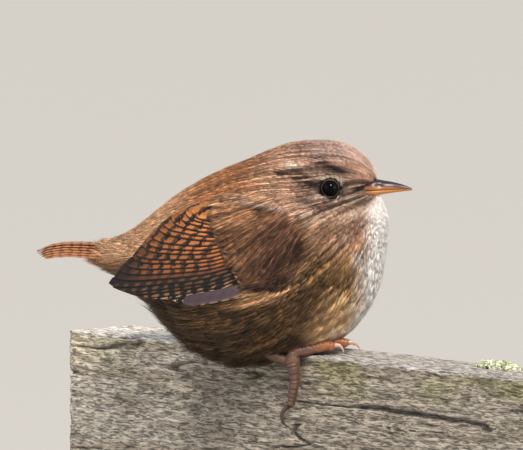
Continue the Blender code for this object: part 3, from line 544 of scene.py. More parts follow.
def painted_horn(name, roughness, grain):
    """Bill and claw sheath, grown keratin worn smooth: glossy, with fine growth lines."""
    material, tree, shader = start_material(
        name, Roughness=roughness, Specular_IOR_Level=0.35, Coat_Weight=0.12,
        Coat_Roughness=0.12)
    painted = node(tree, "Attribute", {"attribute_name": "horn"})
    place = node(tree, "TexCoord")
    stretch = node(tree, "Mapping", Vector=place.outputs["Object"], Scale=(0.25, 1.0, 1.0))
    lines = node(tree, "TexNoise", Vector=stretch.outputs[0], Scale=per_metre(grain), Detail=3.0)
    tone = node(tree, "MapRange", Value=lines.outputs[0], From_Min=0.3, From_Max=0.7,
                To_Min=0.85, To_Max=1.15)
    colour = node(tree, "VectorMath", {"operation": "SCALE"}, i0=painted.outputs["Vector"],
                  Scale=tone.outputs[0])
    tree.links.new(colour.outputs[0], shader.inputs["Base Color"])
    bump = node(tree, "Bump", Height=lines.outputs[0], Strength=0.15, Distance=0.05 * MM)
    tree.links.new(bump.outputs[0], shader.inputs["Normal"])
    return material


def wet_eye():
    """Cornea over a nearly black iris: wet, so that it mirrors the light sharply."""
    material, tree, shader = start_material(
        "wet black-brown eye", Roughness=0.06, Specular_IOR_Level=0.12, IOR=1.38)
    painted = node(tree, "Attribute", {"attribute_name": "iris"})
    tree.links.new(painted.outputs["Vector"], shader.inputs["Base Color"])
    return material


def scaly_skin():
    """Leg and toe skin, horny scutes over thin skin: satin, waxy ridges with dark seams."""
    material, tree, shader = start_material(
        "horny scutes of the foot", Roughness=0.42, Specular_IOR_Level=0.5)
    painted = node(tree, "Attribute", {"attribute_name": "scute"})
    place = node(tree, "TexCoord")
    grain = node(tree, "TexNoise", Vector=place.outputs["Object"], Scale=per_metre(0.4), Detail=4.0)
    tone = node(tree, "MapRange", Value=grain.outputs[0], From_Min=0.3, From_Max=0.7,
                To_Min=0.75, To_Max=1.25)
    colour = node(tree, "VectorMath", {"operation": "SCALE"}, i0=painted.outputs["Vector"],
                  Scale=tone.outputs[0])
    tree.links.new(colour.outputs[0], shader.inputs["Base Color"])
    bump = node(tree, "Bump", Height=grain.outputs[0], Strength=0.4, Distance=0.08 * MM)
    tree.links.new(bump.outputs[0], shader.inputs["Normal"])
    return material


def weathered_softwood():
    """Sawn softwood left outdoors for years: matt grey fibres, darker in the checks and between the
    fibres where shade is painted in, with a film of green algae near the top. Fibres are drawn
    0.5 mm apart, coarser than real, to show."""
    material, tree, shader = start_material(
        "weathered sawn softwood", Roughness=0.9, Specular_IOR_Level=0.15)
    painted = node(tree, "Attribute", {"attribute_name": "wood"})
    place = node(tree, "TexCoord")
    turned = node(tree, "Mapping", Vector=place.outputs["Object"],
                  Rotation=(0.0, 0.0, -RAIL_YAW))
    stretch = node(tree, "Mapping", Vector=turned.outputs[0], Scale=(0.16, 1.0, 1.0))
    fibres = node(tree, "TexNoise", Vector=stretch.outputs[0], Scale=per_metre(0.42), Detail=4.0,
                  Roughness=0.6, Distortion=0.8)
    tone = node(tree, "MapRange", Value=fibres.outputs[0], From_Min=0.41, From_Max=0.61,
                To_Min=0.35, To_Max=1.5)
    colour = node(tree, "VectorMath", {"operation": "SCALE"}, i0=painted.outputs["Vector"],
                  Scale=tone.outputs[0])
    tree.links.new(colour.outputs[0], shader.inputs["Base Color"])
    bump = node(tree, "Bump", Height=fibres.outputs[0], Strength=0.9, Distance=0.4 * MM)
    tree.links.new(bump.outputs[0], shader.inputs["Normal"])
    return material


def stained_beech():
    """Beech, planed, stained dark and waxed: low satin gloss, fine grain along the board."""
    material, tree, shader = start_material(
        "stained waxed beech", Roughness=0.38, Coat_Weight=0.2, Coat_Roughness=0.3)
    place = node(tree, "TexCoord")
    turned = node(tree, "Mapping", Vector=place.outputs["Object"],
                  Rotation=(0.0, 0.0, -RAIL_YAW))
    stretch = node(tree, "Mapping", Vector=turned.outputs[0], Scale=(0.08, 1.0, 1.0))
    grain = node(tree, "TexNoise", Vector=stretch.outputs[0], Scale=per_metre(1.1), Detail=6.0)
    share = node(tree, "MapRange", Value=grain.outputs[0], From_Min=0.35, From_Max=0.65)
    tree.links.new(mixed(tree, share.outputs[0], rgba("#2b1a12"), rgba("#5a3a26")),
                   shader.inputs["Base Color"])
    bump = node(tree, "Bump", Height=grain.outputs[0], Strength=0.12, Distance=0.1 * MM)
    tree.links.new(bump.outputs[0], shader.inputs["Normal"])
    return material


def brushed_steel():
    """Stainless rod, turned and brushed round: grey metal with fine rings 0.4 mm apart."""
    material, tree, shader = start_material("brushed stainless steel", Metallic=1.0,
                                            Roughness=0.32)
    shader.inputs["Base Color"].default_value = rgba("#b9b8b4")
    place = node(tree, "TexCoord")
    stretch = node(tree, "Mapping", Vector=place.outputs["Object"], Scale=(0.1, 0.1, 1.0))
    rings = node(tree, "TexNoise", Vector=stretch.outputs[0], Scale=per_metre(0.4), Detail=3.0)
    rough = node(tree, "MapRange", Value=rings.outputs[0], To_Min=0.25, To_Max=0.45)
    tree.links.new(rough.outputs[0], shader.inputs["Roughness"])
    bump = node(tree, "Bump", Height=rings.outputs[0], Strength=0.15, Distance=0.02 * MM)
    tree.links.new(bump.outputs[0], shader.inputs["Normal"])
    return material


def crusty_lichen():
    """Crustose lichen: dry, chalky, grey-green lobes with ochre patches."""
    material, tree, shader = start_material("dry grey-green lichen", Roughness=0.95)
    place = node(tree, "TexCoord")
    patch = node(tree, "TexNoise", Vector=place.outputs["Object"], Scale=per_metre(0.9), Detail=4.0)
    share = node(tree, "MapRange", Value=patch.outputs[0], From_Min=0.4, From_Max=0.62)
    tree.links.new(mixed(tree, share.outputs[0], rgba("#cdd2bd"), rgba("#6f7741")),
                   shader.inputs["Base Color"])
    bump = node(tree, "Bump", Height=patch.outputs[0], Strength=0.5, Distance=0.2 * MM)
    tree.links.new(bump.outputs[0], shader.inputs["Normal"])
    return material


def pale_paper():
    material, tree, shader = start_material("pale backdrop paper", Roughness=0.95)
    shader.inputs["Base Color"].default_value = rgba("#aeaca7")
    return material


# Markings, shared by the skin and the coat

PLUMAGE = {key: linear(code) for key, code in {
    "crown": "#a8836f", "nape": "#cda183", "mantle": "#be8256", "rump": "#efb98c",
    "cheek": "#8d705e", "buff": "#d3bfab", "dark": "#261a15", "white": "#fffbf6",
    "breast": "#82623f", "flank": "#5c4329", "belly": "#43331c", "apron": "#e4b988",
    "vent": "#866846", "bar": "#1c120c", "forehead": "#d6b9ab", "lit flank": "#ba9068",
    "collar": "#916f59",
}.items()}
# Parts of the head, throat, flanks and belly that are darker or lighter than their neighbours:
# middle x and z, reach in x and z, and the factor on the colour. The dark before the eye and on the
# lores are markings. The rest are painted shade and painted light: under the bill, behind the cheek,
# the throat's side, the collar, the nape's side, spots on the crown and over the bill, low on the
# belly, in the gap behind the toes, and lit patches on the flank
MARKS_AND_PAINTED_SHADING = ((11.2, 44.3, 1.8, 0.9, 0.5), (11.0, 40.4, 1.4, 1.6, 0.33), (15.6, 37.2, 1.8, 1.6, 0.5),
          (1.3, 38.6, 3.0, 3.5, 0.62), (10.5, 34.6, 3.5, 3.2, 1.3), (15.6, 28.8, 2.4, 2.3, 1.45),
          (-4.5, 40.5, 3.0, 2.0, 0.6), (1.3, 44.3, 2.0, 1.0, 1.8), (15.0, 40.2, 1.5, 1.0, 0.6),
          (5.5, 36.9, 2.0, 1.3, 1.45), (-12.5, 8.0, 5.0, 3.0, 0.7), (-0.5, 3.9, 2.2, 1.5, 0.35),
          (7.5, 18.5, 3.5, 2.5, 1.4), (-1.0, 12.5, 4.0, 3.0, 1.5), (7.0, 48.0, 4.0, 1.6, 0.75),
          (9.0, 45.5, 4.0, 1.2, 0.75), (7.0, 26.0, 4.0, 2.5, 0.75), (15.0, 43.6, 2.5, 1.2, 0.65))
BROW = ((12.2, 43.3), (9.6, 43.9), (7.0, 44.1), (4.2, 44.5), (1.2, 45.8), (-2.2, 46.7))
BROW_REAR = ((-2.5, 47.2), (0.5, 45.2), (3.0, 43.4))
BROW_TOP = ((13.0, 43.8), (10.4, 45.2), (8.0, 46.3), (5.0, 47.7), (1.5, 48.7))
EYE_LINE = ((6.3, 41.7), (4.0, 42.2), (2.0, 42.9), (-0.8, 44.0), (-4.0, 44.6))
LORES = ((15.8, 40.6), (12.5, 41.0), (10.6, 41.2))
MOUSTACHE = ((15.0, 38.4), (11.5, 37.4), (7.0, 36.4), (2.0, 36.8))
FOLD = ((-0.3, 35.6), (-6.0, 37.2), (-12.1, 38.2))
BILL_BASE = np.array([16.5, 0.0, 40.2])
VENT = np.array([-45.0, 0.0, 23.0])


def streaks(turn, run, contrast=1.0):
    """How much lighter or darker each barb is: fine lines drawn out along the lie. Turn is a
    place across the lie in mm, and run one along it in lengths of a tuft."""
    tone = 0.0
    for width, length, share in ((0.28, 1.8, 1.9), (0.7, 2.4, 0.5), (0.16, 1.2, 1.2)):
        spot = np.stack([turn / width, run / length, np.full_like(turn, 7.0 * share)], axis=-1)
        tone = tone + share * (cloud(spot, 1.0) - 0.5)
    return 0.95 * np.exp(contrast * tone)


TUFT_RUNS = (0.0, 4.0, 9.0, 16.0, 26.0, 40.0)
TUFT_LENGTHS = (0.9, 1.6, 2.6, 3.9, 5.4, 6.6)
RUN_STEPS = np.linspace(0.0, 90.0, 181)
RUN_TUFTS = np.cumsum(0.5 / np.interp(RUN_STEPS, TUFT_RUNS, TUFT_LENGTHS))


def lie_place(points):
    """Where points are in the coat's lie, which spreads round the line from bill to vent: the
    turn about that line, the run from the bill in lengths of a tuft, the distance from it."""
    away = points - BILL_BASE
    axis = unit(VENT - BILL_BASE)
    up = unit(np.array([0.0, 0.0, 1.0]) - axis * axis[2])
    turn = np.arctan2(away[..., 1], away @ up)
    run = np.interp(np.linalg.norm(away, axis=-1), RUN_STEPS, RUN_TUFTS)
    return turn, run, np.hypot(away[..., 1], away @ up)


def body_streaks(points):
    """Streaks along the coat's lie, which runs straight back over the tail's root. They are
    stronger on the loose feathers of the flanks and belly."""
    turn, run, reach = lie_place(points)
    contrast = 1.0 + 0.35 * ease(30.0, 24.0, points[..., 2])
    wide = ease(6.0, 12.0, reach)
    made = streaks(turn * 7.0, run, contrast) * (1.0 - wide)
    made = made + streaks(turn * 15.0, run, contrast) * wide
    back = ease(-29.0, -36.0, points[..., 0])
    return made + (streaks(points[..., 1], run) - made) * back


def taper(points):
    """Draws the face in towards the bill's root."""
    x, z = points[..., 0], points[..., 2]
    share = ease(12.8, 16.6, x) * ease(34.0, 38.4, z) * ease(43.6, 41.2, z)
    return points * np.stack([np.ones_like(x), 1.0 - 0.6 * share, np.ones_like(x)], axis=-1)


def plumage_colour(points):
    """Colours of the plumage at points on the body."""
    x, y, z = points.T
    side = np.abs(y)
    flat = points[:, [0, 2]]
    drift = cloud(points, 4.0) - 0.5
    turn, along, _ = lie_place(points)
    strand = cloud(np.stack([turn * 19.0, along / 1.6, turn * 0.0], axis=-1), 1.0)
    fine = ease(0.3, 0.7, strand) - 0.5
    stroke = ease(0.42, 0.6, strand)

    def over(colour, share):
        nonlocal made
        made = made + (PLUMAGE[colour] - made) * np.clip(share, 0.0, 1.0)[:, None]

    def near(line, width):
        return np.exp(-(line_distance(flat, line) / width) ** 2)

    made = np.tile(PLUMAGE["flank"], (len(points), 1))
    # the breast is paler towards the front, the belly darker down and back: its own colour, with
    # painted shade on the underside
    over("breast", ease(-3.0, 12.0, x + 0.2 * (z - 20.0) + 3.0 * drift))
    over("belly", ease(10.0, -4.0, z + 6.0 * drift) * ease(2.0, -14.0, x - 3.0 * drift))
    over("collar", ease(22.0, 29.0, z) * ease(2.0, 7.0, x + 3.0 * drift))
    over("apron", ease(19.0, 9.0, z) * ease(4.0, 12.0, x + 3.0 * drift + 4.0 * ease(12.0, 4.0, z)))
    over("vent", ease(-34.0, -42.0, x + 2.0 * drift) * ease(26.0, 20.0, z))
    # painted light on the flank's fluffed feathers just under the wing
    over("lit flank", np.exp(-((x + 7.0) / 6.0) ** 2 - ((z - 15.4 - 0.2 * (x + 7.0)) / 1.8) ** 2))
    # upper parts
    back = np.interp(x, (-45.0, -30.0, -15.0, 0.0, 10.0), (22.0, 26.5, 31.0, 34.0, 40.0))
    upper = ease(-2.5, 2.0, z - back)
    over("mantle", upper)
    over("rump", upper * ease(-22.0, -34.0, x))
    over("nape", upper * ease(-16.0, -3.0, x))
    head = ease(-3.0, 4.0, x + 3.0 * drift) * ease(31.0, 36.0, z)
    over("cheek", head)
    over("crown", ease(-6.0, 2.0, x) * ease(44.0, 46.5, z + 0.15 * x + 1.5 * drift))
    over("forehead", ease(-1.0, 5.0, x) * ease(47.6, 49.6, z + 0.1 * x) * 0.45)
    over("forehead", ease(6.0, 13.0, x) * ease(43.0, 45.0, z) * ease(6.0, 1.0, side) * 0.65)
    # face: each stripe is broken up by its neighbours' colour
    clear = ease(1.5, 3.5, side)
    over("dark", near(BROW_TOP, 1.2) * clear * stroke)
    over("dark", ease(44.0, 45.5, z) * ease(12.0, 8.0, x) * ease(-7.0, -1.0, x) * (fine - 0.15))
    over("dark", near(BROW_REAR, 1.1) * clear * stroke * 0.9)
    over("buff", near(BROW, 0.75) * clear * (1.0 - 0.9 * stroke) * (1 - 0.5 * ease(8.0, 10.0, x)))
    over("dark", near(EYE_LINE, 1.1) * clear * stroke)
    over("dark", near(LORES, 1.3) * (0.6 + fine) * ease(0.5, 2.0, side))
    over("dark", ease(3.9, 2.6, eye_nearness(points)) * (0.35 + fine))
    over("dark", near(MOUSTACHE, 0.9) * (0.15 + fine) * clear)
    over("dark", head * ease(44.0, 41.0, z) * (fine - 0.2))
    over("buff", head * ease(43.0, 38.0, z) * (0.1 - 1.1 * fine) * 0.7)
    ring = eye_nearness(points)
    above = ease(-0.5, 1.5, z - EYE_PLACE[1])
    over("dark", ease(3.0, 2.5, ring) * 0.95)
    over("buff", ease(2.6, 2.9, ring) * ease(3.5, 3.1, ring) * (0.5 * above + 0.8 * fine - 0.1))
    # white front, widest below the throat
    front = np.interp(z, (2.0, 12.0, 22.0, 30.0, 36.0, 39.0), (5.0, 8.0, 8.6, 7.6, 6.0, 3.5))
    white = ease(2.8, -2.4, side - front + 4.5 * drift) * ease(0.0, 7.0, x) * ease(1.0, 9.0, z)
    over("white", white * ease(41.0, 38.6, z) * 0.97)
    # each spot multiplies the colour: the markings, and the painted shade and painted light, of that
    # table
    for middle, level, long, high, factor in MARKS_AND_PAINTED_SHADING:
        near_it = np.exp(-((x - middle) / long) ** 2 - ((z - level) / high) ** 2)
        made = made * (factor ** near_it)[:, None]
    # fine bars: clear on the rear flanks and vent, faint on the back
    run = np.linalg.norm(points - BILL_BASE, axis=1)
    wave = 0.5 + 0.5 * np.sin(2 * math.pi * (run / 2.3 + 1.2 * drift))
    behind = ease(-8.0, -24.0, x)
    over("bar", ease(0.55, 0.95, wave) * behind * (0.5 * ease(24.0, 12.0, z) + 0.12 * upper))
    return np.clip(made, 0.0, 1.0)


# Lie, length and depth of the coat

def lie_of_coat(points, normals):
    """Which way the feathers lie: away from the bill, towards the vent, and round the eyes."""
    away, home = points - BILL_BASE, VENT - points
    far, near = np.linalg.norm(away, axis=1), np.linalg.norm(home, axis=1)
    way = away / (far**3)[:, None] + 0.2 * home / (near**3)[:, None]
    way = unit(way - normals * np.einsum("ij,ij->i", way, normals)[:, None])
    for side in (-1, 1):
        apart = points - EYE_MIDDLES[side]
        apart = apart - normals * np.einsum("ij,ij->i", apart, normals)[:, None]
        reach = np.linalg.norm(apart, axis=1)
        apart = unit(apart)
        inward = np.minimum(np.einsum("ij,ij->i", way, apart), 0.0)
        close = ease(5.0, 2.6, reach) * (np.linalg.norm(points - EYE_MIDDLES[side], axis=1) < 6.0)
        way = unit(way - apart * (inward * close * 1.1)[:, None])
    return way


def tuft_length(points):
    """Length of the tufts in mm: tiny at the bill, longest on the flanks and belly."""
    run = np.linalg.norm(points - BILL_BASE, axis=1)
    length = np.interp(run, TUFT_RUNS, TUFT_LENGTHS)
    back = np.interp(points[:, 0], (-45.0, -20.0, 0.0, 10.0), (24.0, 30.0, 36.0, 42.0))
    return length * (1.0 - 0.3 * ease(-2.0, 3.0, points[:, 2] - back))


def coat_depth(points):
    """How far the skin lies under the tips."""
    return np.minimum(0.12 + 0.2 * tuft_length(points), 1.2)


def over_rail(points, clearance):
    """Whether points lie over the rail, and not past its faces by more than clearance."""
    across = (points[:, :2] - RAIL_CENTRE) @ OUTWARD
    return np.abs(across) < RAIL_WIDTH / 2 + clearance


def off_rail(points, clearance=0.3):
    """Lifts points that would sink into the rail onto its top."""
    points = points.copy()
    low = over_rail(points, clearance) & (points[:, 2] < RAIL_TOP + clearance)
    points[low, 2] = RAIL_TOP + clearance
    return points


SKIN_RINGS = 170
SKIN_SEGMENTS = 200


def skin_surface():
    """The body's surface in rings about the line to the tail, evenly spaced over it."""
    axis = unit(np.array([COVERTS[0, 0], 0.0, COVERTS[0, 1]]) - BODY_CENTRE)
    across = np.array([0.0, 1.0, 0.0])
    up = np.cross(axis, across)
    around = np.arange(SKIN_SEGMENTS) * 2 * math.pi / SKIN_SEGMENTS

    def surface(angles, turns):
        ways = (np.cos(angles)[:, None, None] * axis
                + np.sin(angles)[:, None, None] * (np.cos(turns)[:, None] * up
                                                   + np.sin(turns)[:, None] * across))
        ways = ways.reshape(-1, 3)
        reach = first_outside(BODY_CENTRE, ways, body_distance)
        return (BODY_CENTRE + ways * reach[:, None]).reshape(len(angles), len(turns), 3)

    fine = np.linspace(0.0, math.pi, 500)
    sample = surface(fine, np.arange(8) * math.pi / 4)
    steps = np.linalg.norm(np.diff(sample, axis=0), axis=2).mean(axis=1)
    steps = steps * np.where(sample[1:, :, 2].mean(axis=1) > 36.0, 1.6, 1.0)
    travelled = np.concatenate([[0.0], np.cumsum(steps)])
    angles = np.interp(np.linspace(0.0, travelled[-1], SKIN_RINGS + 1), travelled, fine)
    return surface(angles, around)


def make_skin(surface, feathers):
    flat = surface.reshape(-1, 3)
    normals = outward(flat)
    depth = coat_depth(flat) + 0.5 * ease(3.2, 2.2, eye_nearness(flat))
    inner = off_rail(flat - normals * depth[:, None])
    rings = taper(inner).reshape(surface.shape)
    rings[0], rings[-1] = rings[0].mean(axis=0), rings[-1].mean(axis=0)
    points, faces = outside_out(rings.reshape(-1, 3), halves(grid_faces(
        SKIN_RINGS + 1, SKIN_SEGMENTS, closed=True)))
    piece = new_piece("body_skin", points, faces, feathers)
    base = plumage_colour(flat)
    pale = ease(0.3, 0.75, base.mean(axis=-1, keepdims=True))
    # the skin is painted darker than the coat over it, for the feathers' darker bases and as painted
    # shade deep in the coat; less so under pale feathers
    paint(piece, "plumage", base * (0.45 + 0.5 * pale))
    clean = bmesh.new()
    clean.from_mesh(piece.data)
    bmesh.ops.remove_doubles(clean, verts=clean.verts, dist=1e-6)
    clean.to_mesh(piece.data)
    clean.free()
    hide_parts("head", "neck", "torso", "rump")
    return piece


def eye_nearness(points):
    """Distance from the nearer eye's axis, large away from the eyes."""
    found = []
    for side in (-1, 1):
        apart = points - EYE_MIDDLES[side]
        height = apart @ eye_axis(side)
        away = np.linalg.norm(apart - height[:, None] * eye_axis(side), axis=1)
        found.append(np.where(height > -3.0, away, 99.0))
    return np.minimum(*found)


EYE_MIDDLES = {side: eye_centre(side) for side in (-1, 1)}
BLADE_FACES = np.array([(0, 1, 2), (0, 2, 3), (0, 3, 1), (1, 4, 2), (2, 4, 3), (3, 4, 1)])


def spread_roots(surface, spacing, chance):
    """Roots over the surface, no two closer than their spacing: points and places on the unwrap."""
    rows, columns = surface.shape[0] - 1, surface.shape[1]
    wrapped = np.concatenate([surface, surface[:, :1]], axis=1)
    a, b = wrapped[:-1, :-1], wrapped[:-1, 1:]
    c, d = wrapped[1:, 1:], wrapped[1:, :-1]
    area = 0.5 * np.linalg.norm(np.cross(c - a, d - b), axis=2)
    middle = ((a + b + c + d) / 4).reshape(-1, 3)
    wanted = area.ravel() / spacing(middle) ** 2
    count = int(wanted.sum() * 3.2)
    cells = chance.choice(len(wanted), count, p=wanted / wanted.sum())
    s, t = chance.random((2, count, 1))
    i, j = cells // columns, cells % columns
    points = ((1 - s) * ((1 - t) * a[i, j] + t * b[i, j]) + s * ((1 - t) * d[i, j] + t * c[i, j]))
    places = np.column_stack([(j + t[:, 0]) / columns, (i + s[:, 0]) / rows])
    tree = KDTree(count)
    for index, point in enumerate(points):
        tree.insert(point, index)
    tree.balance()
    gap = spacing(points) * 0.82
    free = np.ones(count, bool)
    kept = []
    for index in range(count):
        if free[index]:
            kept.append(index)
            for _, other, _ in tree.find_range(points[index], gap[index]):
                free[other] = False
    return points[kept], places[kept] * 0.97 + 0.015


def walk_body(roots, lengths, rise, twist):
    """Three points along each tuft, its ways and its normals there."""
    stations, ways, normals = [], [], []
    depth = coat_depth(roots)
    here = settle(roots, -depth - 0.1)
    for share in (0.0, 0.5, 1.0):
        normal = outward(here)
        way = lie_of_coat(here, normal)
        side = np.cross(normal, way)
        way = way * np.cos(twist)[:, None] + side * np.sin(twist)[:, None]
        stations.append(here)
        ways.append(way)
        normals.append(normal)
        after = share + 0.5
        level = (-depth + (depth + rise) * (1.0 - (1.0 - min(after, 1.0)) ** 3)
                 + wing_cover(here + way * lengths[:, None] / 2))
        here = settle(here + way * lengths[:, None] / 2, level)
    stations, normals = trail(np.stack(stations, 1), lengths), np.stack(normals, 1)
    trailing = (roots[:, 0] < -40.0)[:, None, None]
    ways = np.where(trailing, unit(np.gradient(stations, axis=1)), np.stack(ways, 1))
    return stations, ways, np.where(trailing, normals[:, :1], normals)


def trail(stations, lengths):
    """Lets the coverts at the tail's root run straight out along the tail."""
    root = stations[:, 0]
    share = ease(-39.0, -44.0, root[:, 0])[:, None]
    # they end over the tail's root, the lower ones a little further back
    x = np.maximum(root[:, 0] - lengths, np.where(root[:, 2] > 23.5, -47.0, -49.5) - 0.4 * lengths)
    along = np.clip((TAIL_ROOT[0] - x) / (TAIL_ROOT[0] - TAIL_TIP[0]), 0.0, 1.0)
    level = TAIL_ROOT[1] + (TAIL_TIP[1] - TAIL_ROOT[1]) * along + np.interp(along, *TAIL_RISE)
    upper = root[:, 2] > 23.5
    sunk = 0.05 + 0.12 * np.clip(root[:, 2] - 24.5, -2.0, 2.0)
    z = np.where(upper, level + sunk, np.minimum(root[:, 2] + 0.12 * lengths, level - 2.6))
    tip = np.stack([x, root[:, 1] * 0.75, z], axis=1)
    middle = (root + tip) / 2 + np.where(upper, 0.25, -0.15)[:, None] * np.array([0.0, 0.0, 1.0])
    out = stations.copy()
    out[:, 1] += (middle - out[:, 1]) * share
    out[:, 2] += (tip - out[:, 2]) * share
    return out


def wing_cover(points):
    """Extra height that carries a tuft over the edge of the folded wing, and fluffs up the flank
    along its lower edge. Behind the shoulder the wing's upper edge lies over the coat."""
    inside = inside_wing(points[:, [0, 2]])
    low = ease(22.0, 18.0, points[:, 2]) * ease(-22.0, -16.0, points[:, 0])
    ahead = ease(-13.0, -10.0, points[:, 0]) + low
    share = np.clip((inside + 2.0 + 3.0 * low) / (3.5 + 2.0 * low), 0.0, 1.0)
    cover = 1.5 * share * share * (3.0 - 2.0 * share) * np.clip(ahead, 0.0, 1.0)
    return np.where(np.abs(points[:, 1]) > 4.0, cover, 0.0)


def blades(stations, ways, normals, colouring, places, count, width, spread, chance,
           shade=(0.42, 1.0, 1.12), relief=1.0):
    """Tufts of thin blades side by side along each tuft's line, pointed at both ends. Colouring
    gives each blade's colour from its middle."""
    tufts = len(stations)
    fan = np.linspace(-1.0, 1.0, count)[None, :] + chance.normal(0.0, 0.35, (tufts, count))
    long = 1.0 - 0.12 * np.abs(fan) + chance.normal(0.0, 0.28, (tufts, count))
    raised = width[:, None] * chance.normal(0.0, 0.5, (tufts, count))
    sides = np.cross(normals, ways)
    points = np.empty((tufts, count, 5, 3))
    paints = np.empty((tufts, count, 5, 3))
    uvs = np.empty((tufts, count, 5, 2))
    half = width[:, None] * 0.5 * chance.uniform(0.75, 1.25, (tufts, count))
    centres = []
    for k in range(3):
        centre = stations[:, None, k] + sides[:, None, k] * (
            fan * spread[:, None] * (0.7 + 0.15 * k))[..., None]
        if k:
            step = stations[:, None, k] - stations[:, None, k - 1]
            centre = centre + step * ((long - 1.0) * (1.0 if k == 2 else 0.3))[..., None]
        centres.append(centre + normals[:, None, k] * raised[..., None] * k)
    seen = (centres[1] + centres[2]) / 2
    colours = colouring(seen.reshape(-1, 3)).reshape(tufts, count, 3)
    # light shines through pale feathers, so they aren't as dark at their roots
    pale = ease(0.3, 0.75, colours.mean(axis=-1, keepdims=True))
    colours = colours * np.exp(chance.normal(0.0, 0.12, (tufts, count, 1)) * (1.0 - 0.7 * pale))
    across = sides[:, None, 1] * half[..., None]
    ridge = normals[:, None, 1] * (half * 0.3 * relief)[..., None]
    corners = ((0, centres[0], 0), (1, centres[1] - across, 1), (2, centres[1] + ridge, 1),
               (3, centres[1] + across, 1), (4, centres[2], 2))
    # each blade is painted darker at its root, as painted shade deep in the coat, and a little paler
    # at its tip
    for corner, place, k in corners:
        points[:, :, corner] = place
        paints[:, :, corner] = colours * (shade[k] + (1.0 - shade[k]) * 0.95 * pale)
        uvs[:, :, corner] = places[:, None] + np.stack(
            [fan * 0.0011, np.full_like(fan, (k - 1) * 0.0012)], -1)
    faces = (np.arange(tufts * count)[:, None, None] * 5 + BLADE_FACES).reshape(-1, 3)
    return (points.reshape(-1, 3), faces, np.clip(paints, 0, 1).reshape(-1, 3), uvs.reshape(-1, 2))


def coat_piece(name, made, feathers):
    points, faces, paints, places = made
    piece = new_piece(name, points, faces, feathers, smooth=False)
    paint(piece, "plumage", paints)
    lay_uv(piece, faces, places)
    return piece


COAT_REGIONS = ("face", "crown", "throat", "breast", "mantle", "flank_right", "flank_left",
                "belly", "rump")


def region_of(points):
    """The number in COAT_REGIONS of the coat piece that each root belongs to."""
    x, y, z = points.T
    run = np.linalg.norm(points - BILL_BASE, axis=1)
    back = np.interp(x, (-45.0, -20.0, 0.0, 10.0), (24.0, 30.0, 36.0, 44.0))
    made = np.where(y < 0, 5, 6)
    made = np.where(z < 12.0, 7, made)
    made = np.where((x > 4.0) & (z >= 10.0), 3, made)
    made = np.where((x > 2.0) & (z > 24.0), 2, made)
    made = np.where(z > back, 4, made)
    made = np.where(x < -30.0, 8, made)
    made = np.where((z > 37.0) & (x > -5.0), 1, made)
    return np.where((run < 12.5) & (z > 34.0), 0, made)


def in_bill(points):
    """Whether points lie inside the bill."""
    top, bottom, half = (np.interp(points[:, 0], BEAK_STATIONS[:, 0], BEAK_STATIONS[:, i])
                         for i in (1, 3, 4))
    across = points[:, 1] / half
    height = (2 * points[:, 2] - top - bottom) / (top - bottom)
    return (points[:, 0] > BEAK_STATIONS[0, 0]) & (across**2 + height**2 < 0.8)


def make_coat(surface, feathers):
    chance = np.random.default_rng(11)

    def spacing(points):
        return 0.1 * tuft_length(points) + 0.17

    roots, places = spread_roots(surface, spacing, chance)
    inside = inside_wing(roots[:, [0, 2]])
    # nothing grows where a wing lies close over the body; behind, there is room below it
    room = wing_reach(roots[:, 0], roots[:, 2]) - np.abs(roots[:, 1])
    close = (roots[:, 0] > -27.0) | (room < 1.0)
    covered = (inside > 2.5) & (np.abs(roots[:, 1]) > 6.0)
    covered |= (inside_wing(roots[:, [0, 2]], REAR_WING) > 2.5) & (np.abs(roots[:, 1]) > 3.0)
    covered &= close
    keep = ~covered & ~in_bill(taper(roots)) & (eye_nearness(roots) > 2.1)
    keep &= roots[:, 0] > -50.5
    roots, places = roots[keep], places[keep]
    lengths = tuft_length(roots) * chance.uniform(0.75, 1.25, len(roots))
    # the flanks and belly lie in loose waves
    wavy = ease(30.0, 22.0, roots[:, 2]) * ease(12.0, 4.0, roots[:, 0])
    twist = chance.normal(0.0, 0.04, len(roots)) + 0.3 * (cloud(roots, 5.0) - 0.5) * wavy
    loose = ease(20.0, 8.0, roots[:, 2]) * ease(6.0, -8.0, roots[:, 0])
    rise = (0.03 + 0.25 * loose) * lengths * chance.random(len(roots)) ** 2
    stations, ways, normals = walk_body(roots, lengths, rise, twist)
    over_eye = eye_nearness(stations[:, 2]) < 2.1
    # behind the shoulder the wing's upper edge lies over the back's feathers
    tips = stations[:, 2]
    low = tips[:, 2] < 22.0

    def pokes(place):
        room = wing_reach(place[:, 0], place[:, 2]) - np.abs(place[:, 1])
        return low & (np.abs(place[:, 1]) > 2.0) & ((place[:, 0] > -27.0) | (room < 0.6))
    under_wing = (tips[:, 0] < -12.0) & (inside_wing(tips[:, [0, 2]]) > -0.2) & pokes(tips)
    for place in (tips, stations[:, 1]):
        under_wing |= (inside_wing(place[:, [0, 2]], REAR_WING) > 0.0) & pokes(place)
    regions = np.where(over_eye | under_wing, -1, region_of(roots))

    def coat_colour(points):
        made = plumage_colour(points)
        tone = np.clip(body_streaks(points), 0.25, 2.6)[:, None]
        return made * tone ** (1.0 - 0.7 * ease(0.3, 0.75, made.mean(axis=-1, keepdims=True)))
    for number, name in enumerate(COAT_REGIONS):
        chosen = regions == number
        width = 0.085 + 0.019 * lengths[chosen]
        spread = 1.0 * spacing(roots[chosen]) + 0.15
        made = blades(stations[chosen], ways[chosen], normals[chosen], coat_colour,
                      places[chosen], 13, width, spread, chance,
                      relief=0.4 if name in ("throat", "breast") else 1.0)
        made = (off_rail(taper(made[0]), 0.15), *made[1:])
        coat_piece("coat_" + name, made, feathers)
        print("coat", name, int(chosen.sum()), "tufts", len(made[1]), "triangles")


# Wings and tail

def vane_breadth(s):
    """Share of the half width along a vane: full soon after the root, rounded at the tip."""
    root = 0.55 + 0.45 * ease(0.0, 0.3, s)
    return root * (np.sqrt(np.clip(1.0 - np.clip((s - 0.8) / 0.2, 0.0, 1.0) ** 2, 0.0, 1.0))
                   * 0.9 + 0.1)


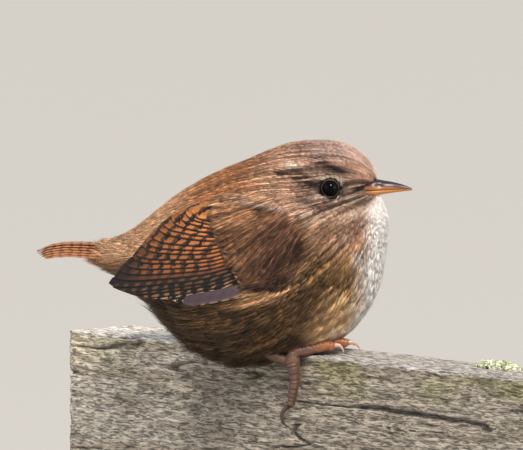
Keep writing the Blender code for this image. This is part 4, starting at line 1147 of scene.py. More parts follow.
def wing_vane(root, tip, half, layer, sag, side, number, chance, trim=False, rows=30, columns=9):
    """One feather of the folded wing as a thin closed vane. Its lower edge stands out. Gives
    also a pattern per point: how far across and along it lies, and the feather's number."""
    root, tip = np.asarray(root, float), np.asarray(tip, float)
    length = np.linalg.norm(tip - root)
    way = (tip - root) / length
    across = np.array([way[1], -way[0]])
    s = np.linspace(0.0, 1.0, rows) ** 0.9
    c = np.linspace(-1.0, 1.0, columns)
    middle = root + (tip - root) * s[:, None] - across * (sag * np.sin(math.pi * s))[:, None]
    ragged = 1.0 - 0.07 * chance.random((rows, 1)) * ease(0.3, 0.9, s)[:, None] * np.abs(c) ** 4
    place = middle[:, None] + across * (half * vane_breadth(s)[:, None] * c * ragged)[..., None]
    if trim:
        place = trimmed(place.reshape(-1, 2)).reshape(place.shape)
    reach = wing_reach(place[..., 0], place[..., 1])
    lift = layer - VANE_TILT * c + 0.12 * (1.0 - c**2) - 0.7 * ease(0.25, 0.0, s)[:, None]
    top = reach + lift
    thick = 0.05 + 0.12 * (1.0 - np.abs(c) ** 3)
    upper = np.stack([place[..., 0], side * top, place[..., 1]], axis=-1)
    lower = np.stack([place[..., 0], side * (top - thick), place[..., 1]], axis=-1)
    points, faces = closed_sheet(upper, lower)
    from_wrist = np.linalg.norm(place - WRIST, axis=-1)
    pattern = np.stack([np.broadcast_to(c, from_wrist.shape), from_wrist,
                        np.full(from_wrist.shape, number)], axis=-1).reshape(-1, 3)
    along = np.broadcast_to(s[:, None], from_wrist.shape).ravel()
    return points, faces, np.vstack([pattern, pattern]), np.concatenate([along, along])[:, None]


VANE_TILT = 0.3
WRIST = np.array([2.0, 10.0])
REMEX_COUNT = 23
WEB = {key: linear(code) for key, code in {
    "rufous": "#ac6734", "brown": "#b9723a", "pale": "#c09c7c", "black": "#0f0907",
    "covert": "#7d5538", "soft": "#33231a", "violet": "#544349", "tail": "#c4865b",
    "tail bar": "#8c5a3a",
}.items()}
def web_colours(points, web, bar, chance):
    tone = chance.normal(1.0, 0.06)
    return (np.tile(np.clip(web * tone, 0, 1), (len(points), 1)),
            np.tile(np.clip(bar * tone, 0, 1), (len(points), 1)))


def make_wing(side, name, vanes, feathers):
    """Flight feathers and coverts in rows, then the shoulder's own coat of small feathers."""
    chance = np.random.default_rng(21 if side < 0 else 22)
    word = "right" if side < 0 else "left"
    parts = []
    rows = (
        (ROOT_LINE, TIP_LINE, REMEX_COUNT, (1.5, 2.3), 0.1, 0.5, flight_colours),
        (GREATER_ROOTS, GREATER_TIPS, 14, (1.1, 1.4), 0.42, 0.2, covert_colours),
    )
    for roots, tips, count, widths, layer, sag, colouring in rows:
        starts, ends = along_line(roots, count), along_line(tips, count)
        halves_ = np.linspace(*widths, count)
        for i in range(count):
            points, faces, pattern, along = wing_vane(
                starts[i], ends[i] + chance.normal(0.0, 0.25, 2), halves_[i],
                layer + 0.012 * (i % 2), sag, side, chance.normal(0.0, 0.12), chance,
                trim=count == REMEX_COUNT)
            web, bar = colouring(i / (count - 1), pattern[:, :1], along)
            if count == REMEX_COUNT and i < 3:
                # the lowest ones' pale spots reach the very edge
                pattern[:, 0] = np.maximum(pattern[:, 0], -0.66)
            tone = chance.normal(1.0, 0.07)
            parts.append((points, faces, pattern, web * tone, bar * tone))
    if side < 0:
        points, faces, pattern, along = wing_vane(*SLIPPED_FEATHER, 1.5, 0.75, 0.3, side, 0.0,
                                                  chance)
        lower = ease(-0.76, -0.86, pattern[:, :1]) * ease(0.9, 0.75, along)
        pattern[:, 0] = np.maximum(pattern[:, 0], -0.66)
        web = WEB["violet"] * (1 - lower) + WEB["pale"] * lower
        bar = WEB["violet"] * 0.85 * (1 - lower) + WEB["black"] * lower
        parts.append((points, faces, pattern, web, bar))
    points, faces, pattern, web, bar = join(parts)
    piece = new_piece("flight_feathers_" + word, points, faces, vanes)
    paint(piece, "vane", pattern)
    paint(piece, "web", np.clip(web, 0, 1))
    paint(piece, "bar", np.clip(bar, 0, 1))
    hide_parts(name)
    make_shoulder(side, word, feathers, chance)


def flight_colours(share, across, along):
    """A flight feather's web and bars. Share runs from the lowest feather, 0, to the top, 1:
    the lowest are black with pale spots on their edge, and all are plain towards the root."""
    web = WEB["rufous"] + (WEB["brown"] - WEB["rufous"]) * ease(0.6, 1.0, share)
    behind = ease(0.5, 0.95, along) * ease(1.0, 0.85, share)
    web = web * (1.0 - 0.42 * ease(0.8, 0.3, share)) * (1.0 - 0.4 * behind)
    outer = ease(0.48, 0.34, share)
    web = web + (WEB["black"] - web) * outer
    tip = 0.95 * ease(0.74, 0.96, along) * ease(0.72, 0.42, share) * (1 - 0.3 * outer)
    web = web + (WEB["black"] - web) * tip
    plain = 0.85 * ease(0.3, 0.12, along) * ease(0.9, 0.7, share)
    bar = WEB["black"] + (web - WEB["black"]) * plain
    # the lowest ones' bars are the pale spots, the next ones' are dull brown
    pale = ease(0.27, 0.13, share)
    spot = WEB["covert"] * 0.5 + (WEB["pale"] - WEB["covert"] * 0.5) * pale
    edge = ease(-0.2 - 0.18 * pale, -0.5 - 0.1 * pale, across)
    spot = WEB["black"] + (spot - WEB["black"]) * edge * (1 - 0.8 * tip * (1 - pale))
    return web, bar + (spot - bar) * outer


def covert_colours(share, across, along):
    """A greater covert: brown, its lower neighbours black with a pale spot at the tip."""
    low = ease(0.4, 0.1, share)
    web = WEB["covert"] + (WEB["soft"] - WEB["covert"]) * 0.95 * low * np.ones_like(across)
    spot = ease(0.88, 0.93, along) * ease(0.98, 0.95, along) * ease(0.0, -0.4, across)
    web = web + (WEB["pale"] - web) * spot * low
    bar = web * 0.45
    return web, bar


def alula_colours(share, across, along):
    """A feather of the bastard wing: blackish with a thin pale rim at the tip."""
    rim = np.clip(ease(0.7, 0.95, np.abs(across)) + ease(0.92, 0.98, along), 0, 1) * along
    web = linear("#4a3323") + (linear("#a98a6c") - linear("#4a3323")) * 0.5 * rim
    return web, web * 0.8


def shoulder_colour(points):
    """The small coverts: warm brown, darker to the front, with the mantle's edge folded over. Along
    the fold are a painted highlight and a painted shadow under it, and along the wing's lower front
    edge painted shade.
    """
    x, _, z = points.T
    flat = points[:, [0, 2]]
    drift = cloud(points, 3.0) - 0.5
    fine = cloud(points, 0.9) - 0.5
    made = np.tile(linear("#8a6244"), (len(points), 1))

    def over(code, share):
        nonlocal made
        made = made + (linear(code) - made) * np.clip(share, 0.0, 1.0)[:, None]

    over("#694837", ease(-12.0, -5.0, x + 4.0 * drift) * ease(36.0, 33.0, z))
    over("#523a2b", ease(-7.0, 3.0, x - 0.5 * (z - 26.0) + 3.0 * drift) * ease(33.0, 28.0, z))
    over("#8a6850", ease(-2.0, 4.0, x) * ease(25.5, 22.5, z))
    over("#c48f66", ease(30.0, 36.5, z) * ease(-6.0, -12.0, x + 3.0 * drift))
    fold = np.interp(x, (-12.1, -6.0, -0.3), (38.2, 37.2, 35.6))
    over("#a98264", ease(-0.2, 0.6, z - fold))
    # painted highlight along the fold, and painted shadow just under it
    over("#cdbab2", np.exp(-(line_distance(flat, FOLD) / 0.4) ** 2) * 0.5)
    over("#2b2024", np.exp(-((fold - 0.7 - z) / 0.35) ** 2) * ease(-14.0, -11.0, x) * 0.7)
    # painted shade along the wing's lower front edge, where it meets the flank
    over("#1d120c", ease(2.2, 0.4, inside_wing(flat)) * ease(28.0, 23.0, z)
         * ease(-16.0, -10.0, x) * ease(2.0, -2.0, x) * (0.75 + fine))
    return np.clip(made * (1.0 + 0.3 * fine)[:, None], 0, 1)


def make_shoulder(side, word, feathers, chance):
    """Small feathers over the front of the wing, lying back along it."""
    low, high = along_line(WING_LOW, 80), along_line(WING_HIGH, 80)
    step = 0.5
    roots = []
    for a, b in zip(low[:44], high[:44]):
        count = max(2, int(np.linalg.norm(b - a) / step))
        roots.append(a + (b - a) * ((np.arange(count) + 0.5) / count)[:, None])
    roots = np.vstack(roots)
    roots = roots + chance.normal(0.0, 0.25, roots.shape)
    limit = np.interp(roots[:, 1], (17.0, 20.0, 25.5, 31.5, 38.0), (-3.0, -6.0, -9.5, -12.5, -15.0))
    limit = limit + chance.normal(0.0, 1.2, len(limit))
    roots = roots[(roots[:, 0] > limit) & (inside_wing(roots) > -0.5)]
    count = len(roots)
    lengths = chance.uniform(3.0, 4.8, count)
    source = np.array([9.0, 44.0])
    flat = unit(roots - source)
    # along the wing's lower edge they lie along that edge
    slope = np.interp(roots[:, 0], (-14.0, -9.0, -1.5, 3.5), (0.1, 0.15, 0.36, 0.9))
    nearly = ease(7.0, 2.0, line_distance(roots, WING_LOW))[:, None] * 0.95
    flat = unit(flat * (1.0 - nearly) - nearly * np.stack([np.cos(slope), np.sin(slope)], axis=1))
    turn = chance.normal(0.0, 0.025, count)
    flat = np.stack([flat[:, 0] * np.cos(turn) - flat[:, 1] * np.sin(turn),
                     flat[:, 0] * np.sin(turn) + flat[:, 1] * np.cos(turn)], axis=1)
    stations, normals = [], []
    for share in (0.0, 0.5, 1.0):
        place = roots + flat * (lengths * share)[:, None]
        height = 0.55 + 0.45 * share + 0.35 * ease(4.0, -6.0, place[:, 0])
        reach = wing_reach(place[:, 0], place[:, 1]) + height
        slope_x = (wing_reach(place[:, 0] + 0.2, place[:, 1]) - wing_reach(
            place[:, 0] - 0.2, place[:, 1])) / 0.4
        slope_z = (wing_reach(place[:, 0], place[:, 1] + 0.2) - wing_reach(
            place[:, 0], place[:, 1] - 0.2)) / 0.4
        normals.append(unit(np.stack([-slope_x, np.full(count, float(side)), -slope_z], axis=1)))
        stations.append(np.stack([place[:, 0], side * reach, place[:, 1]], axis=1))
    stations, normals = np.stack(stations, 1), np.stack(normals, 1)
    ways = unit(np.gradient(stations, axis=1))
    places = np.column_stack([(roots[:, 0] + 40.0) / 60.0, (roots[:, 1] - 5.0) / 60.0])

    def along_wing(points):
        apart = points[..., [0, 2]] - source
        turn = np.arctan2(apart[..., 1], -apart[..., 0])
        tone = streaks(turn * 24.0, np.linalg.norm(apart, axis=-1) / 3.2)
        return shoulder_colour(points) * np.clip(tone, 0.3, 2.4)[:, None]

    made = blades(stations, ways, normals, along_wing, places, 13, np.full(count, 0.16),
                  np.full(count, 0.4), chance)
    coat_piece("shoulder_feathers_" + word, made, feathers)
    print("shoulder", word, count, "tufts", len(made[1]), "triangles")


def tail_vane(index, side, chance, rows=22, columns=7):
    share = index / (TAIL_COUNT - 1)
    roll = math.radians(8.0 + 20.0 * share)
    across = np.array([0.0, side * math.cos(roll), -math.sin(roll)])
    up = np.array([0.0, side * math.sin(roll), math.cos(roll)])
    s = np.linspace(0.0, 1.0, rows) ** 0.9
    c = np.linspace(-1.0, 1.0, columns)
    x = TAIL_ROOT[0] + s * (TAIL_TIP[0] + 2.6 * share**1.5 - TAIL_ROOT[0])
    y = side * (0.55 + 0.372 * index + 2.365 * share * s)
    z = TAIL_ROOT[1] + (TAIL_TIP[1] - TAIL_ROOT[1]) * s + np.interp(s, *TAIL_RISE)
    z = z - share * (2.2 + 2.0 * s - 2.9 * s**2) - 0.06 * (side > 0)
    centre = np.stack([x, y, z], axis=1)
    half = 2.0 * (1.0 - 0.1 * share) * vane_breadth(s)
    ragged = 1.0 - 0.08 * chance.random((rows, 1)) * ease(0.4, 0.9, s)[:, None] * np.abs(c) ** 4
    place = centre[:, None] + across * (half[:, None] * c * ragged)[..., None]
    place = place + up * (0.12 * c + 0.1 * (1 - c**2))[None, :, None]
    thick = (0.05 + 0.12 * (1.0 - np.abs(c) ** 3))[None, :, None]
    points, faces = closed_sheet(place, place - up * thick)
    pattern = np.stack([np.broadcast_to(c, place.shape[:2]),
                        np.broadcast_to((TAIL_ROOT[0] - x)[:, None], place.shape[:2]),
                        np.full(place.shape[:2], chance.normal(0.0, 0.04))], axis=-1)
    pattern = pattern.reshape(-1, 3)
    return points, faces, np.vstack([pattern, pattern])


def make_tail(vanes):
    chance = np.random.default_rng(31)
    parts = []
    for index in range(TAIL_COUNT):
        for side in (-1, 1):
            points, faces, pattern = tail_vane(index, side, chance)
            web = WEB["tail"] * (1.0 - 0.3 * index / TAIL_COUNT)
            parts.append((points, faces, pattern,
                          *web_colours(points, web, WEB["tail bar"], chance)))
    points, faces, pattern, web, bar = join(parts)
    piece = new_piece("tail_feathers", points, faces, vanes)
    paint(piece, "vane", pattern)
    paint(piece, "web", web)
    paint(piece, "bar", bar)
    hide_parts("tail")


# Bill, eyes, legs and feet


def make_bill():
    """Two mandibles. The upper one has a ridge and nostrils, and its edge closes over the lower."""
    chance_free = painted_horn("horn of the bill", 0.38, 0.5)
    line = along_line(BEAK_STATIONS, 44)
    angles = np.linspace(0.0, math.pi, 17)
    for name, up, slot in (("beak_upper", 1, "dark_horn"), ("beak_lower", -1, "yellow_horn")):
        rings, heights = [], []
        for x, top, mouth, bottom, half in line:
            level = mouth + up * 0.05
            height = max((top - level) if up > 0 else (level - bottom), 0.08)
            width = half * (1.0 if up > 0 else 0.93)
            y = width * np.cos(angles)
            share = np.sin(angles) ** (0.85 if up > 0 else 0.8)
            rings.append(np.stack([np.full(17, x), y, level + up * height * share], axis=1))
            heights.append(share)
        rings = np.array(rings)
        points, faces = outside_out(*closed_rings(rings))
        share = np.concatenate([np.array(heights).ravel(), [0.5, 0.5]])
        x = points[:, 0]
        if up > 0:
            for side in (-1, 1):
                apart = points - np.array([19.0, side * 1.6, 41.25])
                pit = np.exp(-(apart[:, 0] / 0.9) ** 2 - (apart[:, 1] / 0.9) ** 2
                             - (apart[:, 2] / 0.35) ** 2)
                points = points - np.array([0.0, side * 0.45, 0.0]) * pit[:, None]
            dark = ease(0.18, 0.5, share + 0.2 * ease(22.0, 26.5, x))[:, None]
            colours = linear("#96602f") * (1 - dark) + linear("#2c1b25") * dark
        else:
            dark = (ease(0.75, 1.0, share) * 0.5 + 0.35 * ease(24.0, 26.9, x))[:, None]
            base = ease(19.5, 16.5, x)[:, None]
            colours = linear("#b3722f") * (1 - base) + linear("#9c6b4c") * base
            colours = colours * (1 - dark) + linear("#5a3a2a") * dark
        piece = new_piece(name.replace("beak", "bill"), points, faces, chance_free)
        paint(piece, "horn", colours)
        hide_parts(name)


def turned_to(axis):
    """Two unit vectors square to an axis, the second nearest to straight up."""
    up = unit(np.array([0.0, 0.0, 1.0]) - axis * axis[2])
    return np.cross(up, axis), up


def make_eyes(feathers):
    """Each eyeball with its bulging cornea, and a rim of beaded lids round it."""
    wet = wet_eye()
    rim = scaly_skin()
    for side, word in ((-1, "right"), (1, "left")):
        axis, centre = eye_axis(side), EYE_MIDDLES[side]
        across, up = turned_to(axis)
        polar = np.linspace(0.0, math.pi, 33)[1:-1]
        around = np.arange(48) * 2 * math.pi / 48
        bulge = EYE_RADIUS + 0.05 * np.exp(-(polar / 0.5) ** 2)
        rings = (np.cos(polar)[:, None, None] * axis
                 + np.sin(polar)[:, None, None] * (np.cos(around)[:, None] * across
                                                   + np.sin(around)[:, None] * up))
        rings = centre + rings * bulge[:, None, None]
        points, faces = outside_out(*closed_rings(rings))
        away = np.concatenate([np.repeat(polar, 48), [0.0, math.pi]])
        iris = (ease(0.55, 0.62, away) * ease(1.0, 0.85, away))[:, None]
        colours = linear("#040304") * (1 - iris) + linear("#0c0705") * iris
        eye = new_piece("eyeball_" + word, points, faces, wet)
        paint(eye, "iris", colours)
        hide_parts("eye_" + word)
        # lids: a soft ring, thicker above, its inner edge beaded
        turn = np.arange(72) * 2 * math.pi / 72
        ring_turn = np.arange(12) * 2 * math.pi / 12
        rings = []
        for angle in turn:
            out = np.cos(angle) * across + np.sin(angle) * up
            thick = 0.14 + 0.03 * np.sin(angle) + 0.02 * np.cos(28 * angle)
            middle = centre + axis * (LID_RISE + 0.05) + out * (LID_OPENING + 0.13)
            rings.append(middle + thick * (np.cos(ring_turn)[:, None] * out
                                           + np.sin(ring_turn)[:, None] * axis))
        rings = np.array(rings)
        faces = halves(grid_faces(73, 12, closed=True)) % (72 * 12)
        points, faces = outside_out(rings.reshape(-1, 3), faces)
        # the beads, and the upper lid, are painted a little paler: painted highlight
        shade = np.repeat(0.5 + 0.5 * np.cos(28 * turn + 0.6), 12)[:, None]
        upper = np.repeat(ease(-0.2, 0.7, np.sin(turn)), 12)[:, None]
        colours = linear("#0c0807") * (1 - 0.06 * shade) + linear("#6d5a4b") * 0.06 * shade
        colours = colours * (1 - 0.03 * upper) + linear("#b59c84") * 0.03 * upper
        lid = new_piece("eyelids_" + word, points, faces, rim)
        paint(lid, "scute", colours)


NEAR_TOES = (
    ((-1.0, -7.4, -1.0), (-0.4, -7.9, 1.1), (2.2, -7.6, 1.95), (5.0, -7.2, 2.5), (7.0, -6.9, 2.9),
     (8.6, -6.6, 2.7), (9.4, -6.5, 2.45)),
    ((-1.0, -7.4, -1.0), (-0.2, -7.0, 1.5), (2.6, -5.8, 2.1), (5.6, -4.4, 2.7), (8.4, -3.2, 3.3),
     (10.6, -2.4, 3.3), (11.9, -2.0, 2.9)),
    ((-1.0, -7.4, -1.0), (-0.4, -6.6, 1.5), (1.6, -4.4, 2.2), (3.6, -2.2, 2.4), (5.6, -0.2, 2.3),
     (7.2, 1.3, 2.1)),
    ((-1.0, -7.4, -1.0), (-0.5, -7.7, -3.0), (-0.3, -7.6, -6.0), (-0.8, -7.4, -9.0),
     (-1.2, -7.3, -10.8), (-1.4, -7.2, -12.0)),
)
NEAR_CLAWS = (
    ((8.8, -6.6, 3.0), (10.2, -6.5, 3.1), (11.1, -6.5, 2.3), (11.4, -6.6, 1.4)),
    ((11.4, -2.2, 3.3), (13.0, -1.7, 3.4), (14.1, -1.4, 2.5), (14.6, -1.3, 1.4)),
    ((6.8, 0.9, 2.2), (8.1, 2.1, 2.3), (9.0, 2.9, 1.9), (9.4, 3.2, 1.4)),
    ((-1.6, -7.3, -11.4), (-3.2, -7.5, -13.0), (-3.4, -7.4, -14.8), (-2.8, -6.8, -16.2),
     (-1.7, -5.8, -17.2)),
)
FAR_TOES = (
    ((-3.2, 6.3, 2.6), (-0.6, 8.3, 2.4), (2.0, 10.2, 2.6), (4.2, 11.8, 2.4), (5.6, 12.7, 2.2)),
    ((-3.2, 6.3, 2.6), (-0.2, 7.1, 2.4), (3.0, 7.9, 2.7), (6.2, 8.6, 2.5), (8.8, 9.2, 2.2)),
    ((-3.2, 6.3, 2.6), (-0.2, 5.8, 2.4), (2.6, 5.4, 2.6), (5.6, 5.0, 2.2)),
    ((-3.2, 6.3, 2.6), (-5.7, 5.9, 2.2), (-8.4, 6.2, 2.1), (-10.9, 6.6, 2.1)),
)
FAR_CLAWS = (
    ((5.2, 12.4, 2.4), (6.6, 13.4, 2.6), (7.4, 14.0, 2.0), (7.7, 14.2, 1.4)),
    ((8.4, 9.1, 2.4), (9.9, 9.5, 2.6), (10.9, 9.7, 2.0), (11.2, 9.8, 1.4)),
    ((5.2, 5.0, 2.4), (6.5, 4.8, 2.6), (7.3, 4.7, 2.0), (7.6, 4.6, 1.4)),
    ((-10.6, 6.6, 2.2), (-12.3, 6.9, 2.6), (-13.8, 7.2, 2.4), (-14.8, 7.4, 1.5)),
)
NEAR_TARSUS = ((-14.0, -8.6, 7.0), (-9.0, -8.0, 2.6), (-5.0, -7.6, 0.2), (-1.0, -7.4, -1.0))
FAR_TARSUS = ((-12.5, 8.8, 11.5), (-9.0, 8.1, 8.4), (-5.8, 7.2, 5.3), (-3.2, 6.3, 2.6))


def scaly_tube(line, radii, scute, pads, dorsal, sides=20):
    """A toe or shank: overlapping scutes along its back, soft pads along its sole."""
    length = np.linalg.norm(np.diff(np.asarray(line, float), axis=0), axis=1).sum()
    rows = max(24, int(length / 0.12))
    path = along_line(line, rows)
    ways = unit(np.gradient(path, axis=0))
    backs = unit(dorsal - ways * (ways @ dorsal)[:, None])
    across = np.cross(backs, ways)
    share = np.linspace(0.0, 1.0, rows)
    base = radii[0] + (radii[1] - radii[0]) * share
    base = base * np.clip(np.sqrt(np.clip((1.0 - share) * length / (radii[1] * 0.9), 0, 1)), 0.25, 1)
    if pads:
        base = base * (1.0 + 0.4 * np.exp(-(share * length / 1.6) ** 2))
    count = max(4, round(length / scute))
    phase = (share * count + 1.1 * cloud(path, 1.3)) % 1.0
    step = 0.18 * phase**0.7 * (1 - ease(0.85, 1.0, phase)) + 0.02
    step = step + 0.5 * (cloud(path, 1.7) - 0.5)
    around = np.arange(sides) * 2 * math.pi / sides
    on_back = ease(-0.25, 0.35, np.sin(around))
    under = ease(-0.2, -0.8, np.sin(around))
    cushions = 0.16 * np.abs(np.sin(math.pi * share * pads)) ** 0.7 if pads else 0.0 * share
    radius = base[:, None] * (1.0 + step[:, None] * on_back + cushions[:, None] * under)
    rings = path[:, None] + radius[..., None] * (
        np.cos(around)[None, :, None] * across[:, None]
        + np.sin(around)[None, :, None] * backs[:, None])
    points, faces = outside_out(*closed_rings(rings))
    seam = (ease(0.72, 0.98, phase) + ease(0.12, 0.0, phase))[:, None] * on_back
    tip = np.broadcast_to(share[:, None], seam.shape)
    values = np.stack([seam, tip, np.broadcast_to(under, seam.shape)], axis=-1).reshape(-1, 3)
    values = np.vstack([values, values[:1], values[-1:]])
    return points, faces, values


def claw_tube(line, radii=(0.62, 0.06), sides=14):
    """A curved claw, deeper than it is wide, tapering to a point."""
    rows = 22
    path = along_line(line, rows)
    ways = unit(np.gradient(path, axis=0))
    bend = path[rows // 2] - (path[0] + path[-1]) / 2
    backs = unit(bend - ways * (ways @ bend)[:, None])
    across = np.cross(backs, ways)
    share = np.linspace(0.0, 1.0, rows)
    radius = (radii[0] + (radii[1] - radii[0]) * share**1.15)[:, None, None]
    around = np.arange(sides) * 2 * math.pi / sides
    rings = path[:, None] + radius * (0.78 * np.cos(around)[None, :, None] * across[:, None]
                                      + 1.1 * np.sin(around)[None, :, None] * backs[:, None])
    points, faces = outside_out(*closed_rings(rings))
    share = np.concatenate([np.repeat(share, sides), [0.0, 1.0]])[:, None]
    return points, faces, share


def make_feet():
    skin = scaly_skin()
    horn = painted_horn("horn of the claws", 0.35, 0.3)
    flesh, seam, tip, sole = (linear(c) for c in ("#573e33", "#241713", "#8d5534", "#6f4d3b"))

    def tint(values):
        edge, along, under = (values[:, i:i + 1] for i in range(3))
        made = flesh + (tip - flesh) * ease(0.4, 0.9, along)
        made = made + (sole - made) * 0.5 * under
        return made + (seam - made) * 0.65 * np.clip(edge, 0, 1)

    up = np.array([0.0, 0.0, 1.0])
    away = np.array([*OUTWARD, 0.0])
    for word, toes, claws, shank in (("right", NEAR_TOES, NEAR_CLAWS, NEAR_TARSUS),
                                     ("left", FAR_TOES, FAR_CLAWS, FAR_TARSUS)):
        gripping = word == "right"
        parts = []
        for i, toe in enumerate(toes):
            dorsal = away if (i == 3 and gripping) else up
            hanging = i == 3 and gripping
            points, faces, values = scaly_tube(toe, (1.3, 0.85 if hanging else 1.0), 1.1, 3.5,
                                               dorsal)
            if hanging:
                values *= (0.5, 0.3, 1.0)
            colours = tint(values)
            parts.append((points, faces, colours))
        points, faces, colours = join(parts)
        piece = new_piece("toes_" + word, points, faces, skin)
        paint(piece, "scute", colours)
        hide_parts("foot_" + word)
        parts = []
        for i, claw in enumerate(claws):
            points, faces, share = claw_tube(claw)
            dark = ease(0.25, 0.0, share)
            colours = linear("#a8907f") * (1 - dark) + linear("#6b4636") * dark
            # the hind claw is painted dark: painted shade, as it hangs against the rail's face
            if i == 3:
                colours = linear("#4c3b34") * (1 - 0.5 * dark)
            parts.append((points, faces, colours))
        points, faces, colours = join(parts)
        piece = new_piece("claws_" + word, points, faces, horn)
        paint(piece, "horn", colours)
        points, faces, values = scaly_tube(shank, (1.3, 1.15), 1.5, 0, up)
        values[:, 1] = 0.0
        piece = new_piece("shank_" + word, points, faces, skin)
        paint(piece, "scute", tint(values))
        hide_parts("leg_" + word)


# Rail and stand

def make_rail():
    """The sawn rail as a fine skin of fibres: ridges and drying cracks run along it."""
    wood = weathered_softwood()
    outline, inward = rail_outline()
    steps = np.linalg.norm(np.roll(outline, -1, axis=0) - outline, axis=1)
    girth = np.concatenate([[0.0], np.cumsum(steps)[:-1]])
    run = np.linspace(-RAIL_LENGTH / 2, RAIL_LENGTH / 2, RAIL_ROWS)
    u, v = np.meshgrid(run, girth, indexing="ij")
    v = v + 1.6 * (cloud(np.stack([u, v, v * 0], -1), np.array([9.0, 6.0, 1.0])) - 0.5)
    spot = np.stack([u, v, np.zeros_like(u)], axis=-1)
    coarse = cloud(spot, np.array([12.0, 2.2, 1.0]))
    fibre = cloud(spot + 40.0, np.array([4.0, 0.75, 1.0]))
    ridged = 1.0 - np.abs(2.0 * cloud(spot + 90.0, np.array([60.0, 2.6, 1.0])) - 1.0)
    broken = ease(0.35, 0.6, cloud(spot + 60.0, np.array([15.0, 4.0, 1.0])))
    crack = ease(0.93, 0.995, ridged) * broken
    depth = 0.3 * (1 - coarse) + 0.5 * (1 - fibre) ** 2 + 0.8 * crack
    end = ease(2.2, 0.0, RAIL_LENGTH / 2 - np.abs(u))
    depth = depth + 0.3 * end
    section = outline[None] + inward[None] * depth[..., None]
    rings = cap_rings(np.stack([u, section[..., 0], section[..., 1]], axis=-1))
    local = rings.reshape(-1, 3)
    points, faces = closed_rings(rings)
    points, faces = outside_out(rail_place(points), faces)
    local = np.vstack([local, local[:1], local[-1:]])
    shade = np.zeros(rings.shape[:2])
    extra = (len(rings) - RAIL_ROWS) // 2
    # painted shade: darker in the cracks and the gaps between fibres
    shade[extra:extra + RAIL_ROWS] = crack + 0.45 * ease(0.5, 0.15, fibre) + 0.1 * (1 - coarse)
    shade = np.concatenate([shade.ravel(), [0.0, 0.0]])
    piece = new_piece("weathered_rail", points, faces, wood)
    paint(piece, "wood", wood_colour(local, np.clip(shade, 0, 1)))
    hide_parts("perch_rail")
    make_lichen()


def rail_outline():
    """The rail's section (outward, up), close-set where it is seen, and its inward normals."""
    bevel = 0.9
    half_y, half_z = RAIL_WIDTH / 2, RAIL_HEIGHT / 2
    corners = []
    for sign_y, sign_z, start in ((1, 1, 0.0), (-1, 1, 0.5), (-1, -1, 1.0), (1, -1, 1.5)):
        angles = math.pi * (start + np.linspace(0.0, 0.5, 4))
        corners.append(np.stack([sign_y * (half_y - bevel) + bevel * np.cos(angles),
                                 sign_z * (half_z - bevel) + bevel * np.sin(angles)], axis=1))
    outline = []
    for here, after, spacing in zip(corners, corners[1:] + corners[:1], RAIL_SPACINGS):
        outline.append(here)
        count = int(np.linalg.norm(after[0] - here[-1]) / spacing)
        outline.append(here[-1] + (after[0] - here[-1]) * (np.arange(1, count) / count)[:, None])
    outline = np.vstack(outline)
    along = unit(np.roll(outline, -1, axis=0) - np.roll(outline, 1, axis=0))
    return outline, np.stack([-along[:, 1], along[:, 0]], axis=1)


def cap_rings(rings):
    """Closes a bar's ends with rings that shrink to its middle, with some end grain."""
    near, far = [], []
    for share in (0.93, 0.8, 0.62, 0.42, 0.2):
        for edge, made in ((rings[0], near), (rings[-1], far)):
            ring = edge.copy()
            ring[:, 1:] = edge[:, 1:] * share
            out = -np.sign(edge[0, 0])
            ring[:, 0] = edge[:, 0] + out * 0.3 * cloud(ring * np.array([0.0, 1.0, 1.0]), 1.6)
            made.append(ring)
    return np.concatenate([np.array(near[::-1]), rings, np.array(far)])


def rail_place(points):
    """From the rail's own axes (along, outward, up, about its middle) to the wren's frame."""
    flat = RAIL_CENTRE + points[:, :1] * ALONG + points[:, 1:2] * OUTWARD
    return np.column_stack([flat, points[:, 2] + RAIL_TOP - RAIL_HEIGHT / 2])


def wood_colour(local, crack):
    """Grey fibres, warm where sheltered, green algae along the top of the near face. The top face is
    painted pale as painted light, and painted shade darkens the cracks.
    """
    top = ease(RAIL_HEIGHT / 2 - 1.6, RAIL_HEIGHT / 2 - 0.4, local[:, 2])
    patch = cloud(local, np.array([16.0, 5.0, 4.0]))
    streak = cloud(local, np.array([30.0, 1.2, 1.2]))
    grey, olive, brown, pale = (linear(c) for c in ("#a69d8f", "#87834f", "#6b5846", "#b3aeaa"))
    made = np.tile(grey, (len(local), 1))
    made = made + (brown - made) * (0.4 * ease(0.5, 0.85, streak))[:, None]
    below = RAIL_HEIGHT / 2 - local[:, 2]
    algae = ease(17.0, 1.0, below) * ease(0.35, 0.65, patch)
    left = ease(-30.0, -45.0, local[:, 0])
    made = made + (olive - made) * (0.55 * algae * (1.0 - 0.6 * left))[:, None]
    # the top face is painted pale: painted light where the light falls on it
    made = made + (pale - made) * (0.8 * top)[:, None]
    made = made * (1.0 + 0.7 * left)[:, None]
    # painted shade in the cracks and between the fibres
    return np.clip(made * (1.0 - 0.7 * np.clip(crack, 0, 1))[:, None], 0, 1)


def tree_input(tree, name, kind, value):
    made = tree.interface.new_socket(name, in_out="INPUT", socket_type="NodeSocket" + kind)
    made.default_value = value
    return made.identifier


